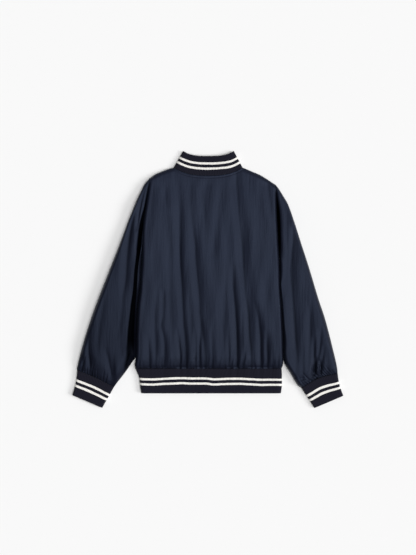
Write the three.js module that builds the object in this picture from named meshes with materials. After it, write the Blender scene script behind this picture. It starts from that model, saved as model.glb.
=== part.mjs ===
// A varsity jacket laid flat on its front, seen from the back.
// Millimetres. X runs to the right across the back, Y from the hem to the neck, Z up from the floor.
// Every cloth piece is a wall: an outer surface worked out from the tables, and the same surface moved in.
// An upper layer is what the back shows. A lower layer lies on the floor, with a flat underside.
import * as THREE from "three";

const { lerp, clamp, smoothstep } = THREE.MathUtils;

// Cloth
const SHELL_WALL = 2.2; // shell cloth with its seam allowances
const RIB_WALL = 2.6; // rib knit, doubled
const SEAM_GAP = 0.3; // space left between two pieces that are sewn together

// How a folded edge or a side seam lies
const EDGE_HEIGHT = 6; // over the floor
const UPPER_REACH = 15; // in from the edge, where the upper layer is at its full height
const LOWER_REACH = 8; // in from the edge, where the lower layer is down on the floor

// Body
const HEM_SEAM_Y = -267;
const UNDERARM_Y = 48;
const ARMHOLE_RISE = 60; // length over which the side seam opens into the armhole
const SHOULDER_Y = 304; // the left shoulder point, where the side edges end
const CENTRE_X = 8; // middle of the neck and line of the press studs
const OVERLAP = 32; // width of the overlap at the centre front
const NECK_LEFT = { x: -102, y: 335 };
const NECK_RIGHT = { x: 104, y: 335 };
const BACK_NECK_DROP = 24;
const FRONT_NECK_DROP = 73;
const NECK_BEND = 2.6; // how flat the middle of the neck curve is, where 2 is a parabola

// Ribbing
const HEM_DEPTH = 73.3;
const RIB_HEIGHT = 0.7;
const GATHER_HEIGHT = 2.2; // of the small pleats where the cloth is drawn into the ribbing
const GATHERS_FROM = 0.01; // share of a piece's length up to which they keep that height
const BACK_GATHERS_TO = 0.08; // share by which they have faded out
const SLEEVE_GATHERS_TO = 0.07;
const RIB_CROWN = 15; // height of the back layer of a rib band over the floor

// Press studs
const SNAP_RADIUS = 7.5;
const SNAP_HEIGHT = 2.3;
const SNAP_BEVEL = 1; // width of the slope round each face
const SNAP_RIM = { from: 0.8, to: 1.6 }; // heights of the straight part of the rim
const SNAP_PITCH = 96;
const TOP_SNAP_Y = 243;
const SHELL_SNAPS = 6;

// Side edges of the body, up from the hem seam to the shoulder points.
const BODY_EDGES = [
  { y: -267, left: -209, right: 221 },
  { y: -256, left: -219, right: 225 },
  { y: -236, left: -216, right: 226 },
  { y: -164, left: -214, right: 224 },
  { y: -83, left: -210, right: 221 },
  { y: -32, left: -204, right: 217 },
  { y: 16, left: -201, right: 215 },
  { y: 73, left: -197, right: 213 },
  { y: 160, left: -194, right: 209 },
  { y: 199, left: -189, right: 207 },
  { y: 247, left: -181, right: 205 },
  { y: 304, left: -172, right: 202 },
];

// Shoulder seams, from the left shoulder point to the neck and from the neck to the right one.
const LEFT_SHOULDER = [
  { x: -172, y: 304 },
  { x: -156, y: 315 },
  { x: -122, y: 329 },
  { x: -102, y: 335 },
];
const RIGHT_SHOULDER = [
  { x: 104, y: 335 },
  { x: 130, y: 325 },
  { x: 161, y: 311 },
  { x: 202, y: 283 },
];

// Height of the back over the floor, up from the hem seam to the neck.
const BODY_CROWN = [
  { y: -267, height: 15 },
  { y: -255, height: 21 },
  { y: -225, height: 25 },
  { y: 0, height: 26 },
  { y: 200, height: 24 },
  { y: 290, height: 19 },
  { y: 335, height: 15 },
];

// Sleeve edges, up from the cuff seam. The inner edges go on up beside the body to the underarm.
const LEFT_SLEEVE_OUTER = [
  { x: -391, y: -278 },
  { x: -391, y: -262 },
  { x: -379, y: -213 },
  { x: -363, y: -157 },
  { x: -342, y: -90 },
  { x: -308, y: -2 },
  { x: -271, y: 100 },
  { x: -242, y: 174 },
  { x: -217, y: 235 },
  { x: -200, y: 269 },
  { x: -188, y: 289 },
  { x: -172.6, y: 304 },
];
const LEFT_SLEEVE_INNER = [
  { x: -285, y: -321 },
  { x: -272, y: -310 },
  { x: -244, y: -281 },
  { x: -224, y: -250 },
];
const RIGHT_SLEEVE_OUTER = [
  { x: 389, y: -281 },
  { x: 387, y: -262 },
  { x: 379, y: -226 },
  { x: 354, y: -124 },
  { x: 332, y: -57 },
  { x: 305, y: 39 },
  { x: 283, y: 106 },
  { x: 262, y: 167 },
  { x: 242, y: 222 },
  { x: 228, y: 247 },
  { x: 213, y: 271 },
  { x: 202.6, y: 283 },
];
const RIGHT_SLEEVE_INNER = [
  { x: 284, y: -324 },
  { x: 271, y: -318 },
  { x: 256, y: -296 },
  { x: 236, y: -266 },
];

// Height of a sleeve over the floor, as a share of its length up from the cuff seam.
const SLEEVE_CROWN = [
  { share: 0, height: 15 },
  { share: 0.035, height: 22 },
  { share: 0.12, height: 28 },
  { share: 0.5, height: 30 },
  { share: 1, height: 25 },
];

// Free edges of the cuffs.
const LEFT_CUFF_END = { left: { x: -406, y: -346 }, right: { x: -316, y: -383 } };
const RIGHT_CUFF_END = { left: { x: 319, y: -385 }, right: { x: 406, y: -348 } };

// Side edges of the hem rib, up from its free edge to the hem seam.
const HEM_EDGES = [
  { y: -342, left: -199, right: 219 },
  { y: -318, left: -206, right: 222 },
  { y: -267, left: -211, right: 221 },
];

// Free edge of the collar, at the two folds, at the back and at the centre front.
const COLLAR_TOP = { left: -74, right: 78, foldY: 384.5, backY: 369, frontY: 320, crown: 12 };
const COLLAR_BEND = { back: 3.2, front: 2 }; // how flat its middle is, as of the neck curve

// Folds of the back. left and right are the widths of a fold's two flanks, and a path row is y, x, depth.
const path = (...rows) => rows.map(([y, x, depth]) => ({ y, x, depth }));
const BODY_FOLDS = [
  {
    left: 13,
    right: 9,
    path: path([-266, -65, 6.5], [-140, -72, 6], [-20, -79, 6], [60, -83, 8], [190, -84, 6], [310, -84, 0]),
  },
  {
    left: 12,
    right: 12,
    path: path([-266, -10, 6], [-110, -24, 5], [40, -36, 5], [160, -46, 5], [305, -56, 0]),
  },
  { left: 8, right: 7, path: path([-266, -25, 6], [-170, -24, 4], [-110, -22, 0]) },
  { left: 7, right: 7, path: path([-266, -37, 5], [-200, -37, 4], [-140, -38, 0]) },
  { left: 14, right: 14, path: path([40, -6, 0], [190, -9, 3], [295, -22, 0]) },
  { left: 12, right: 14, path: path([60, 20, 0], [160, 28, 2], [300, 44, 0]) },
  {
    left: 10,
    right: 24,
    path: path([-266, 129, 8], [-170, 123, 10], [-50, 112, 6], [100, 101, 8], [280, 84, 5], [318, 82, 0]),
  },
  {
    left: 10,
    right: 10,
    path: path([-266, 85, 8], [-200, 86, 10], [-110, 82, 8.5], [-20, 75, 5], [60, 74, 0]),
  },
  { left: 12, right: 12, path: path([-266, 51, 1.5], [-50, 51, 2], [90, 55, 0]) },
  { left: 9, right: 11, path: path([-266, 157, 8], [-170, 156, 8], [-60, 142, 0]) },
  { left: 9, right: 11, path: path([-266, 177, 5], [-200, 177, 6], [-145, 177, 0]) },
  { left: 16, right: 14, path: path([30, 177, 0], [160, 170, 3], [308, 154, 0]) },
  { left: 11, right: 11, path: path([180, 189, 0], [250, 182, 3], [298, 178, 0]) },
  { left: 16, right: 16, path: path([-266, -94, 2], [-110, -110, 3], [130, -114, 3], [220, -112, 0]) },
  { left: 9, right: 10, path: path([-266, -132, 6.5], [-170, -132, 5], [-110, -135, 5], [-20, -136, 0]) },
  { left: 9, right: 9, path: path([-266, -156, 2.5], [-200, -156, 5], [-40, -152, 1.5], [0, -144, 0]) },
];
const SLEEVE_FOLDS = [
  {
    left: 12,
    right: 10,
    path: path([-180, -268, 0], [-62, -254, 2.5], [58, -242, 6], [118, -236, 8], [215, -214, 0]),
  },
  { left: 9, right: 10, path: path([-300, -347, 4], [-242, -353, 7], [-182, -356, 4], [-110, -342, 0]) },
  { left: 8, right: 9, path: path([-330, -286, 6], [-272, -290, 6], [-200, -304, 0]) },
  { left: 10, right: 10, path: path([-240, -328, 0], [-182, -328, 2], [-92, -315, 1.5], [-40, -306, 0]) },
  {
    left: 10,
    right: 18,
    path: path([-295, 259, 3], [-200, 262, 7], [-110, 256, 8], [10, 247, 4.5], [170, 252, 0]),
  },
  { left: 9, right: 9, path: path([-275, 299, 1.5], [-140, 304, 5], [-60, 304, 0]) },
  { left: 9, right: 8, path: path([-300, 312, 6], [-245, 316, 8], [-165, 317, 0]) },
  { left: 8, right: 8, path: path([-290, 336, 4], [-240, 340, 5], [-190, 348, 0]) },
];

// Value of one column of a table, on a smooth curve through its rows.
function read(table, key, column, at) {
  const last = table.length - 1;
  const place = clamp(at, table[0][key], table[last][key]);
  let row = 0;
  while (row < last - 1 && table[row + 1][key] < place) row += 1;
  const slope = (index) => {
    const before = table[Math.max(index - 1, 0)];
    const after = table[Math.min(index + 1, last)];
    return (after[column] - before[column]) / (after[key] - before[key]);
  };
  const step = table[row + 1][key] - table[row][key];
  const t = (place - table[row][key]) / step;
  const start = (1 + 2 * t) * (1 - t) ** 2 * table[row][column];
  const end = t ** 2 * (3 - 2 * t) * table[row + 1][column];
  const leaving = t * (1 - t) ** 2 * step * slope(row);
  const arriving = t ** 2 * (t - 1) * step * slope(row + 1);
  return start + end + leaving + arriving;
}

// How far the folds lower the cloth at a place.
function foldDepth(folds, x, y) {
  let total = 0;
  for (const fold of folds) {
    if (y < fold.path[0].y || y > fold.path[fold.path.length - 1].y) continue;
    const away = x - read(fold.path, "y", "x", y);
    const flank = away < 0 ? fold.left : fold.right;
    total += read(fold.path, "y", "depth", y) * Math.exp(-((away / flank) ** 2));
  }
  return total;
}

// Quarter round from 0 at an edge to 1 at its reach.
function roll(distance, reach) {
  const left = 1 - clamp(distance / reach, 0, 1);
  return Math.sqrt(1 - left * left);
}

// The same where the edge opens, with opening 1, into the next piece.
const edge = (distance, reach, opening) => 1 - (1 - roll(distance, reach)) * (1 - opening);

// Distance across a layer at a share of its columns, of which TURN go to each rounded edge.
const TURN = 0.1;
const quarter = (share) => 1 - Math.cos((share / TURN) * (Math.PI / 2));
function across(share, width, leftReach, rightReach) {
  const start = leftReach > 0 ? TURN : 0;
  const end = rightReach > 0 ? 1 - TURN : 1;
  if (share < start) return leftReach * quarter(share);
  if (share > end) return width - rightReach * quarter(1 - share);
  return lerp(leftReach, width - rightReach, (share - start) / (end - start));
}

const upperHeight = (crown, factor) => lerp(EDGE_HEIGHT + SEAM_GAP, crown, factor);
const lowerHeight = (lift, factor) => lerp(EDGE_HEIGHT - SEAM_GAP, lift, factor);

// Unit vector into the wall from a surface. rim is the way out of the piece at a seam, and the vector
// has no part along it, so that the wall ends level there.
const STEP = 0.006;
function inward(surface, u, v, closed, rim) {
  const wrap = (value) => (closed ? (value + 1) % 1 : clamp(value, 0, 1));
  const alongU = surface(wrap(u + STEP), v).sub(surface(wrap(u - STEP), v));
  const alongV = surface(u, clamp(v + STEP, 0, 1)).sub(surface(u, clamp(v - STEP, 0, 1)));
  const direction = alongV.cross(alongU).normalize();
  if (rim) direction.addScaledVector(rim, -direction.dot(rim)).normalize();
  return direction;
}

// Triangles between two neighbouring rows, which may differ in how many points they have.
function bridge(low, high, faces) {
  let i = 0;
  let j = 0;
  while (i < low.length - 1 || j < high.length - 1) {
    const highDone = j === high.length - 1;
    const lowNext = i < low.length - 1 && (highDone || low[i + 1].u <= high[j + 1].u);
    if (lowNext) {
      faces.push(low[i].id, low[i + 1].id, high[j].id);
      i += 1;
    } else {
      faces.push(low[i].id, high[j + 1].id, high[j].id);
      j += 1;
    }
  }
}

// Columns with each interval of the ridged stretch cut into smaller ones, every second of which is raised.
const ROUNDING = 1e-6;
function ridgedColumns(columns, ridges) {
  const fine = [{ u: columns[0], raised: false }];
  for (let i = 1; i < columns.length; i += 1) {
    const ridged = columns[i - 1] >= ridges.from - ROUNDING && columns[i] <= ridges.to + ROUNDING;
    const cuts = ridged ? ridges.split : 1;
    for (let k = 1; k <= cuts; k += 1) {
      fine.push({ u: lerp(columns[i - 1], columns[i], k / cuts), raised: ridged && k % 2 === 1 });
    }
  }
  return fine;
}

// A closed wall of cloth. ridges.height(v) raises every second fine column of a row over a plain inside.
function wall({ surface, columns, rows, thickness, closed = false, ridges = null, rim = () => null }) {
  const points = [];
  const faces = [];
  const plain = columns.map((u) => ({ u, raised: false }));
  const fine = ridges ? ridgedColumns(columns, ridges) : plain;
  const place = (u, v, depth) => {
    const point = surface(u, v);
    if (depth !== 0) point.addScaledVector(inward(surface, u, v, closed, rim(u, v)), depth);
    points.push(point.x, point.y, point.z);
    return { u, id: points.length / 3 - 1 };
  };
  const skinRow = (spots, v, depthOf) => {
    const kept = closed ? spots.slice(0, -1) : spots;
    const row = kept.map((spot) => place(spot.u, v, depthOf(spot)));
    if (closed) row.push({ u: 1, id: row[0].id });
    return row;
  };
  const outer = rows.map((v) => {
    const height = ridges ? ridges.height(v) : 0;
    return skinRow(height > 0 ? fine : plain, v, (spot) => (spot.raised ? -height : 0));
  });
  const inner = rows.map((v) => skinRow(plain, v, () => thickness));
  const [above, below] = thickness > 0 ? [outer, inner] : [inner, outer];
  for (let k = 0; k < rows.length - 1; k += 1) {
    bridge(above[k], above[k + 1], faces);
    bridge(below[k + 1], below[k], faces);
  }
  bridge(below[0], above[0], faces);
  bridge(above.at(-1), below.at(-1), faces);
  if (!closed) {
    const column = (skin, side) => skin.map((row, k) => ({ u: k, id: row.at(side).id }));
    bridge(column(above, 0), column(below, 0), faces);
    bridge(column(below, -1), column(above, -1), faces);
  }
  const geometry = new THREE.BufferGeometry();
  geometry.setAttribute("position", new THREE.Float32BufferAttribute(points, 3));
  geometry.setIndex(faces);
  return geometry;
}

// Even shares from 0 to 1, and even steps between two values.
const shares = (count) => Array.from({ length: count + 1 }, (unused, k) => k / count);
const steps = (from, to, count) => shares(count).map((t) => lerp(from, to, t));

// Shares across a layer: some in each rounded edge, and even ones between. The nearest one is moved to
// each fixed place.
function layerShares(turned, middle, fixed = []) {
  const start = shares(turned).slice(0, -1).map((t) => TURN * t);
  const flat = steps(TURN, 1 - TURN, middle);
  for (const value of fixed) {
    const nearest = Math.round(((value - TURN) / (1 - 2 * TURN)) * middle);
    flat[nearest] = value;
  }
  return [...start, ...flat, ...start.map((t) => 1 - t).reverse()];
}

// Materials
const shellCloth = new THREE.MeshStandardMaterial({ color: 0x2b3142, roughness: 0.6, metalness: 0 });
const ribKnit = new THREE.MeshStandardMaterial({ color: 0x1f1f2c, roughness: 0.95, metalness: 0 });
const snapMetal = new THREE.MeshStandardMaterial({ color: 0x2c3040, roughness: 0.35, metalness: 0.6 });

const jacket = new THREE.Group();
function add(name, geometry, material) {
  const mesh = new THREE.Mesh(geometry, material);
  mesh.name = name;
  jacket.add(mesh);
  return mesh;
}

// Body outline
const bodyEdge = (side, y) => read(BODY_EDGES, "y", side, y);
const armholeOpening = (y) => smoothstep(y, UNDERARM_Y, UNDERARM_Y + ARMHOLE_RISE);

// Height of the shoulder and neck line at x, for a neck of the given drop.
function topLine(x, drop) {
  if (x <= NECK_LEFT.x) return read(LEFT_SHOULDER, "x", "y", x);
  if (x >= NECK_RIGHT.x) return read(RIGHT_SHOULDER, "x", "y", x);
  const fromCentre = Math.abs(lerp(-1, 1, (x - NECK_LEFT.x) / (NECK_RIGHT.x - NECK_LEFT.x)));
  return NECK_LEFT.y - drop * (1 - fromCentre ** NECK_BEND);
}
const backTop = (x) => topLine(x, BACK_NECK_DROP);
const frontTop = (x) => topLine(x, FRONT_NECK_DROP);

// How far the shoulder seam opens into the neck at x.
function neckOpening(x, reach) {
  const inside = Math.min(x - NECK_LEFT.x, NECK_RIGHT.x - x);
  return inside > 0 ? roll(inside, reach) : 0;
}

const bodyCrown = (x, y) => read(BODY_CROWN, "y", "height", y) - foldDepth(BODY_FOLDS, x, y);

function backHeight(x, y, fromTop) {
  const fromSide = Math.min(x - bodyEdge("left", y), bodyEdge("right", y) - x);
  const side = edge(fromSide, UPPER_REACH, armholeOpening(y));
  const top = edge(fromTop, UPPER_REACH, neckOpening(x, UPPER_REACH));
  return upperHeight(bodyCrown(x, y), side * top);
}

// Shares of the length that gathers take, fading out upwards.
const gathersTo = (end) => (v) => GATHER_HEIGHT * (1 - smoothstep(v, GATHERS_FROM, end));

// Back. Its rows lie close together in the gathers and round the top edge.
const BACK_COLUMNS = 38;
const BACK_ROWS = [0, 0.015, 0.035, ...steps(0.06, 0.9, 17), 0.935, 0.967, 1];
const shoulderLeft = bodyEdge("left", SHOULDER_Y);
const shoulderRight = bodyEdge("right", SHOULDER_Y);
const backWidth = shoulderRight - shoulderLeft;
function backShare(x) {
  const distance = x - shoulderLeft;
  return TURN + ((1 - 2 * TURN) * (distance - UPPER_REACH)) / (backWidth - 2 * UPPER_REACH);
}
function backSurface(u, v) {
  const topX = shoulderLeft + across(u, backWidth, UPPER_REACH, UPPER_REACH);
  const top = backTop(topX);
  const y = HEM_SEAM_Y + across(v, top - HEM_SEAM_Y, 0, UPPER_REACH);
  const left = bodyEdge("left", y);
  const x = left + across(u, bodyEdge("right", y) - left, UPPER_REACH, UPPER_REACH);
  return new THREE.Vector3(x, y, backHeight(x, y, top - y));
}
const NORTH = new THREE.Vector3(0, 1, 0);
const neckShares = [backShare(NECK_LEFT.x), backShare(NECK_RIGHT.x)];
function backRim(u, v) {
  const atNeck = v === 1 && u > neckShares[0] && u < neckShares[1];
  return v === 0 || atNeck ? NORTH : null;
}
add(
  "back_panel",
  wall({
    surface: backSurface,
    columns: layerShares(3, BACK_COLUMNS, neckShares),
    rows: BACK_ROWS,
    thickness: SHELL_WALL,
    ridges: { from: TURN, to: 1 - TURN, split: 2, height: gathersTo(BACK_GATHERS_TO) },
    rim: backRim,
  }),
  shellCloth,
);

// Fronts, lying on the floor under the back. The left one's overlap is lowest and rests on the press studs.
const FRONT_ROWS = [0, 0.025, ...steps(0.06, 0.9, 7), 0.95, 1];
const LEFT_LIFT = SNAP_HEIGHT + SEAM_GAP;
const RIGHT_LIFT = LEFT_LIFT + SHELL_WALL + SEAM_GAP;
const LIFT_MARGIN = 14; // how far past the overlap a front is still lifted
const LIFT_HALF = OVERLAP / 2 + LIFT_MARGIN;
const RAMP = 16; // width over which a front comes down to the floor beside it
function leftLift(x) {
  return LEFT_LIFT * smoothstep(x, CENTRE_X - LIFT_HALF - RAMP, CENTRE_X - LIFT_HALF);
}
function rightLift(x, lift) {
  return lift * (1 - smoothstep(x, CENTRE_X + LIFT_HALF, CENTRE_X + LIFT_HALF + RAMP));
}
function frontFactor(fromSide, fromTop, x, y) {
  const side = edge(fromSide, LOWER_REACH, armholeOpening(y));
  return side * edge(fromTop, LOWER_REACH, neckOpening(x, LOWER_REACH));
}
function leftFrontSurface(u, v) {
  const inside = CENTRE_X + OVERLAP / 2;
  const topX = shoulderLeft + across(u, inside - shoulderLeft, LOWER_REACH, 0);
  const top = frontTop(topX);
  const y = HEM_SEAM_Y + across(v, top - HEM_SEAM_Y, 0, LOWER_REACH);
  const left = bodyEdge("left", y);
  const x = left + across(u, inside - left, LOWER_REACH, 0);
  return new THREE.Vector3(x, y, lowerHeight(leftLift(x), frontFactor(x - left, top - y, x, y)));
}
function rightFrontSurface(u, v) {
  const inside = CENTRE_X - OVERLAP / 2;
  const topX = inside + across(u, shoulderRight - inside, 0, LOWER_REACH);
  const top = frontTop(topX);
  const y = HEM_SEAM_Y + across(v, top - HEM_SEAM_Y, 0, LOWER_REACH);
  const right = bodyEdge("right", y);
  const x = inside + across(u, right - inside, 0, LOWER_REACH);
  const lift = rightLift(x, RIGHT_LIFT);
  return new THREE.Vector3(x, y, lowerHeight(lift, frontFactor(right - x, top - y, x, y)));
}
const leftColumns = [...steps(0, TURN, 3), ...steps(TURN, 1, 15).slice(1)];
const rightColumns = leftColumns.map((u) => 1 - u).reverse();
const fronts = [
  { name: "front_left", surface: leftFrontSurface, columns: leftColumns },
  { name: "front_right", surface: rightFrontSurface, columns: rightColumns },
];
for (const { name, surface, columns } of fronts) {
  const rim = (u, v) => (v === 0 ? NORTH : null);
  add(name, wall({ surface, columns, rows: FRONT_ROWS, thickness: -SHELL_WALL, rim }), shellCloth);
}

// A flattened tube's ring runs left to right over the upper layer and back along the lower one.
const UPPER_SHARE = 0.7;
function tubeSpot(u) {
  if (u <= UPPER_SHARE) return { upper: true, share: u / UPPER_SHARE };
  return { upper: false, share: (1 - u) / (1 - UPPER_SHARE) };
}
function tubeColumns(upperMiddle, lowerMiddle) {
  const upper = layerShares(2, upperMiddle).map((t) => UPPER_SHARE * t);
  const lower = layerShares(2, lowerMiddle).map((t) => lerp(UPPER_SHARE, 1, t));
  return [...upper, ...lower.slice(1)];
}
const tubeHeight = (upper, crown, factor) => lerp(EDGE_HEIGHT, upper ? crown : 0, factor);
const tubeRidges = (split, height) => ({
  from: UPPER_SHARE * TURN,
  to: UPPER_SHARE * (1 - TURN),
  split,
  height,
});

// Sleeves. v runs from the cuff seam to the armhole, where the ring follows the body's edge.
const SIDE_CLEAR = 1.2; // between a sleeve and the body beside it
const SLEEVE_REACH = 16;
const LEFT_INNER_REACH = 26; // the slopes by which the sleeves go down beside the body
const RIGHT_INNER_REACH = 13;
const SEAM_HEIGHT_FROM = 0.8; // share of its length from which a sleeve comes to the armhole's height
const SLEEVE_ROWS = [0, 0.012, 0.03, 0.055, ...steps(0.09, 0.9, 11), 0.95, 1];
const UNDERARM_STOPS = [-228, -195, -150, -90, -30, 20, UNDERARM_Y]; // where its inner edge runs along the body
const curve = (rows) => new THREE.SplineCurve(rows.map(({ x, y }) => new THREE.Vector2(x, y)));
function innerCurve(rows, side) {
  const clear = side === "left" ? -SIDE_CLEAR : SIDE_CLEAR;
  return curve([...rows, ...UNDERARM_STOPS.map((y) => ({ x: bodyEdge(side, y) + clear, y }))]);
}
function armholeHeight(side, y, upper) {
  const x = bodyEdge(side, y);
  if (upper) return backHeight(x, y, backTop(x) - y);
  return lowerHeight(0, frontFactor(0, frontTop(x) - y, x, y));
}
function sleeveSurface({ side, left, right, leftReach, rightReach }) {
  const clear = side === "left" ? -SIDE_CLEAR : SIDE_CLEAR;
  return (u, v) => {
    const { upper, share } = tubeSpot(u);
    const reaches = upper ? [leftReach, rightReach] : [LOWER_REACH, LOWER_REACH];
    const ringSpot = (at) => {
      const start = left.getPointAt(at);
      const width = start.distanceTo(right.getPointAt(at));
      const distance = across(share, width, ...reaches);
      return { spot: start.lerp(right.getPointAt(at), distance / width), distance, width };
    };
    const { spot, distance, width } = ringSpot(v);
    const seam = ringSpot(1).spot;
    const x = spot.x + (bodyEdge(side, seam.y) + clear - seam.x) * v ** 3;
    const crown = read(SLEEVE_CROWN, "share", "height", v) - foldDepth(SLEEVE_FOLDS, x, spot.y);
    const factor = roll(distance, reaches[0]) * roll(width - distance, reaches[1]);
    const atSeam = smoothstep(v, SEAM_HEIGHT_FROM, 1);
    const z = lerp(tubeHeight(upper, crown, factor), armholeHeight(side, seam.y, upper), atSeam);
    return new THREE.Vector3(x, spot.y, z);
  };
}

// Cuffs. v runs from the free edge to the seam.
const CUFF_REACH = 9;
const CUFF_END_CROWN = 13;
const EAST = new THREE.Vector3(1, 0, 0);
function cuffSurface({ end, seam, axis }) {
  return (u, v) => {
    const { upper, share } = tubeSpot(u);
    const reach = upper ? CUFF_REACH : LOWER_REACH;
    const clear = SEAM_GAP * v;
    const left = new THREE.Vector2().lerpVectors(end.left, seam.left, v).addScaledVector(axis, clear);
    const right = new THREE.Vector2().lerpVectors(end.right, seam.right, v).addScaledVector(axis, clear);
    const width = left.distanceTo(right);
    const distance = across(share, width, reach, reach);
    const spot = left.lerp(right, distance / width);
    const factor = roll(distance, reach) * roll(width - distance, reach);
    const crown = lerp(CUFF_END_CROWN, RIB_CROWN, v);
    return new THREE.Vector3(spot.x, spot.y, tubeHeight(upper, crown, factor));
  };
}

const sleeves = [
  {
    side: "left",
    left: curve(LEFT_SLEEVE_OUTER),
    right: innerCurve(LEFT_SLEEVE_INNER, "left"),
    leftReach: SLEEVE_REACH,
    rightReach: LEFT_INNER_REACH,
    cuffEnd: LEFT_CUFF_END,
  },
  {
    side: "right",
    left: innerCurve(RIGHT_SLEEVE_INNER, "right"),
    right: curve(RIGHT_SLEEVE_OUTER),
    leftReach: RIGHT_INNER_REACH,
    rightReach: SLEEVE_REACH,
    cuffEnd: RIGHT_CUFF_END,
  },
];
for (const sleeve of sleeves) {
  const seam = { left: sleeve.left.getPointAt(0), right: sleeve.right.getPointAt(0) };
  const line = seam.right.clone().sub(seam.left).normalize();
  const axis = new THREE.Vector2(line.y, -line.x); // out of the sleeve, towards the hand
  const out = new THREE.Vector3(axis.x, axis.y, 0);
  const ends = { 0: out, 1: EAST };
  add(
    `sleeve_${sleeve.side}`,
    wall({
      surface: sleeveSurface(sleeve),
      columns: tubeColumns(12, 6),
      rows: SLEEVE_ROWS,
      thickness: SHELL_WALL,
      closed: true,
      ridges: tubeRidges(2, gathersTo(SLEEVE_GATHERS_TO)),
      rim: (u, v) => ends[v] ?? null,
    }),
    shellCloth,
  );
  add(
    `cuff_${sleeve.side}`,
    wall({
      surface: cuffSurface({ end: sleeve.cuffEnd, seam, axis }),
      columns: tubeColumns(9, 3),
      rows: shares(2),
      thickness: RIB_WALL,
      closed: true,
      ridges: tubeRidges(4, () => RIB_HEIGHT),
      rim: (u, v) => (v === 0 || v === 1 ? out : null),
    }),
    ribKnit,
  );
}

// A rib band that ends at the centre front: lower left stretch, upper layer, lower right stretch.
const LOWER_SHARE = 0.15;
function bandSpot(u) {
  if (u < LOWER_SHARE) return { layer: "left", share: 1 - u / LOWER_SHARE };
  if (u > 1 - LOWER_SHARE) return { layer: "right", share: 1 - (1 - u) / LOWER_SHARE };
  return { layer: "upper", share: (u - LOWER_SHARE) / (1 - 2 * LOWER_SHARE) };
}
function bandColumns(upperMiddle, lowerMiddle) {
  const lower = [0, TURN / 2, ...steps(TURN, 1, lowerMiddle)];
  const start = lower.map((t) => LOWER_SHARE * (1 - t)).reverse();
  const upper = layerShares(2, upperMiddle).map((t) => lerp(LOWER_SHARE, 1 - LOWER_SHARE, t));
  return [...start.slice(0, -1), ...upper, ...start.slice(0, -1).reverse().map((u) => 1 - u)];
}
const bandRidges = {
  from: lerp(LOWER_SHARE, 1 - LOWER_SHARE, TURN),
  to: lerp(LOWER_SHARE, 1 - LOWER_SHARE, 1 - TURN),
  split: 4,
  height: () => RIB_HEIGHT,
};
const northAtEnds = (u, v) => (v === 0 || v === 1 ? NORTH : null);

// Hem rib. Its ends overlap at the centre front as the fronts do.
const HEM_REACH = 12;
const HEM_RIGHT_LIFT = LEFT_LIFT + RIB_WALL + SEAM_GAP;
const HEM_FOLD_SHARE = 0.35; // how much of the back's folds goes on into the rib at the seam
function hemSurface(u, v) {
  const { layer, share } = bandSpot(u);
  const y = HEM_SEAM_Y - SEAM_GAP - HEM_DEPTH * (1 - v);
  const left = read(HEM_EDGES, "y", "left", y);
  const right = read(HEM_EDGES, "y", "right", y);
  if (layer === "left") {
    const distance = across(share, CENTRE_X + OVERLAP / 2 - left, LOWER_REACH, 0);
    const x = left + distance;
    const factor = roll(distance, LOWER_REACH);
    return new THREE.Vector3(x, y, lerp(EDGE_HEIGHT, leftLift(x), factor));
  }
  if (layer === "right") {
    const distance = across(share, right - CENTRE_X + OVERLAP / 2, LOWER_REACH, 0);
    const x = right - distance;
    const lift = rightLift(x, HEM_RIGHT_LIFT);
    return new THREE.Vector3(x, y, lerp(EDGE_HEIGHT, lift, roll(distance, LOWER_REACH)));
  }
  const distance = across(share, right - left, HEM_REACH, HEM_REACH);
  const x = left + distance;
  const crown = RIB_CROWN - HEM_FOLD_SHARE * v * foldDepth(BODY_FOLDS, x, HEM_SEAM_Y + 1);
  const factor = roll(distance, HEM_REACH) * roll(right - x, HEM_REACH);
  return new THREE.Vector3(x, y, tubeHeight(true, crown, factor));
}
add(
  "hem_rib",
  wall({
    surface: hemSurface,
    columns: bandColumns(40, 6),
    rows: shares(2),
    thickness: RIB_WALL,
    ridges: bandRidges,
    rim: northAtEnds,
  }),
  ribKnit,
);

// Collar. Its back half lies on its front half, and its ends meet at the centre front.
const COLLAR_CLEAR = 1.2; // off the front neckline, along Y
const COLLAR_END_GAP = 0.5; // from the centre line to each end
function collarSurface(u, v) {
  const { layer, share } = bandSpot(u);
  const left = lerp(NECK_LEFT.x, COLLAR_TOP.left, v);
  const right = lerp(NECK_RIGHT.x, COLLAR_TOP.right, v);
  const width = right - left;
  const half = layer === "left" ? CENTRE_X - COLLAR_END_GAP - left : right - CENTRE_X - COLLAR_END_GAP;
  const upper = layer === "upper";
  const over = across(share, width, UPPER_REACH, UPPER_REACH);
  const distance = upper ? over : across(share, half, LOWER_REACH, 0);
  const fromLeft = layer === "right" ? width - distance : distance;
  const x = left + fromLeft;
  const seamX = lerp(NECK_LEFT.x, NECK_RIGHT.x, fromLeft / width);
  const fromMiddle = Math.abs((2 * fromLeft) / width - 1);
  const seamY = upper ? backTop(seamX) + SEAM_GAP : frontTop(seamX) + COLLAR_CLEAR;
  const middleY = upper ? COLLAR_TOP.backY : COLLAR_TOP.frontY;
  const bend = upper ? COLLAR_BEND.back : COLLAR_BEND.front;
  const topY = lerp(middleY, COLLAR_TOP.foldY, fromMiddle ** bend);
  const y = lerp(seamY, topY, v);
  if (upper) {
    const crown = lerp(bodyCrown(seamX, seamY), COLLAR_TOP.crown, v);
    const factor = roll(distance, UPPER_REACH) * roll(width - distance, UPPER_REACH);
    return new THREE.Vector3(x, y, tubeHeight(true, crown, factor));
  }
  const lift = leftLift(layer === "left" ? x : 2 * CENTRE_X - x);
  return new THREE.Vector3(x, y, lerp(EDGE_HEIGHT, lift, roll(distance, LOWER_REACH)));
}
add(
  "collar",
  wall({
    surface: collarSurface,
    columns: bandColumns(18, 8),
    rows: shares(2),
    thickness: RIB_WALL,
    ridges: bandRidges,
    rim: northAtEnds,
  }),
  ribKnit,
);

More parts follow.
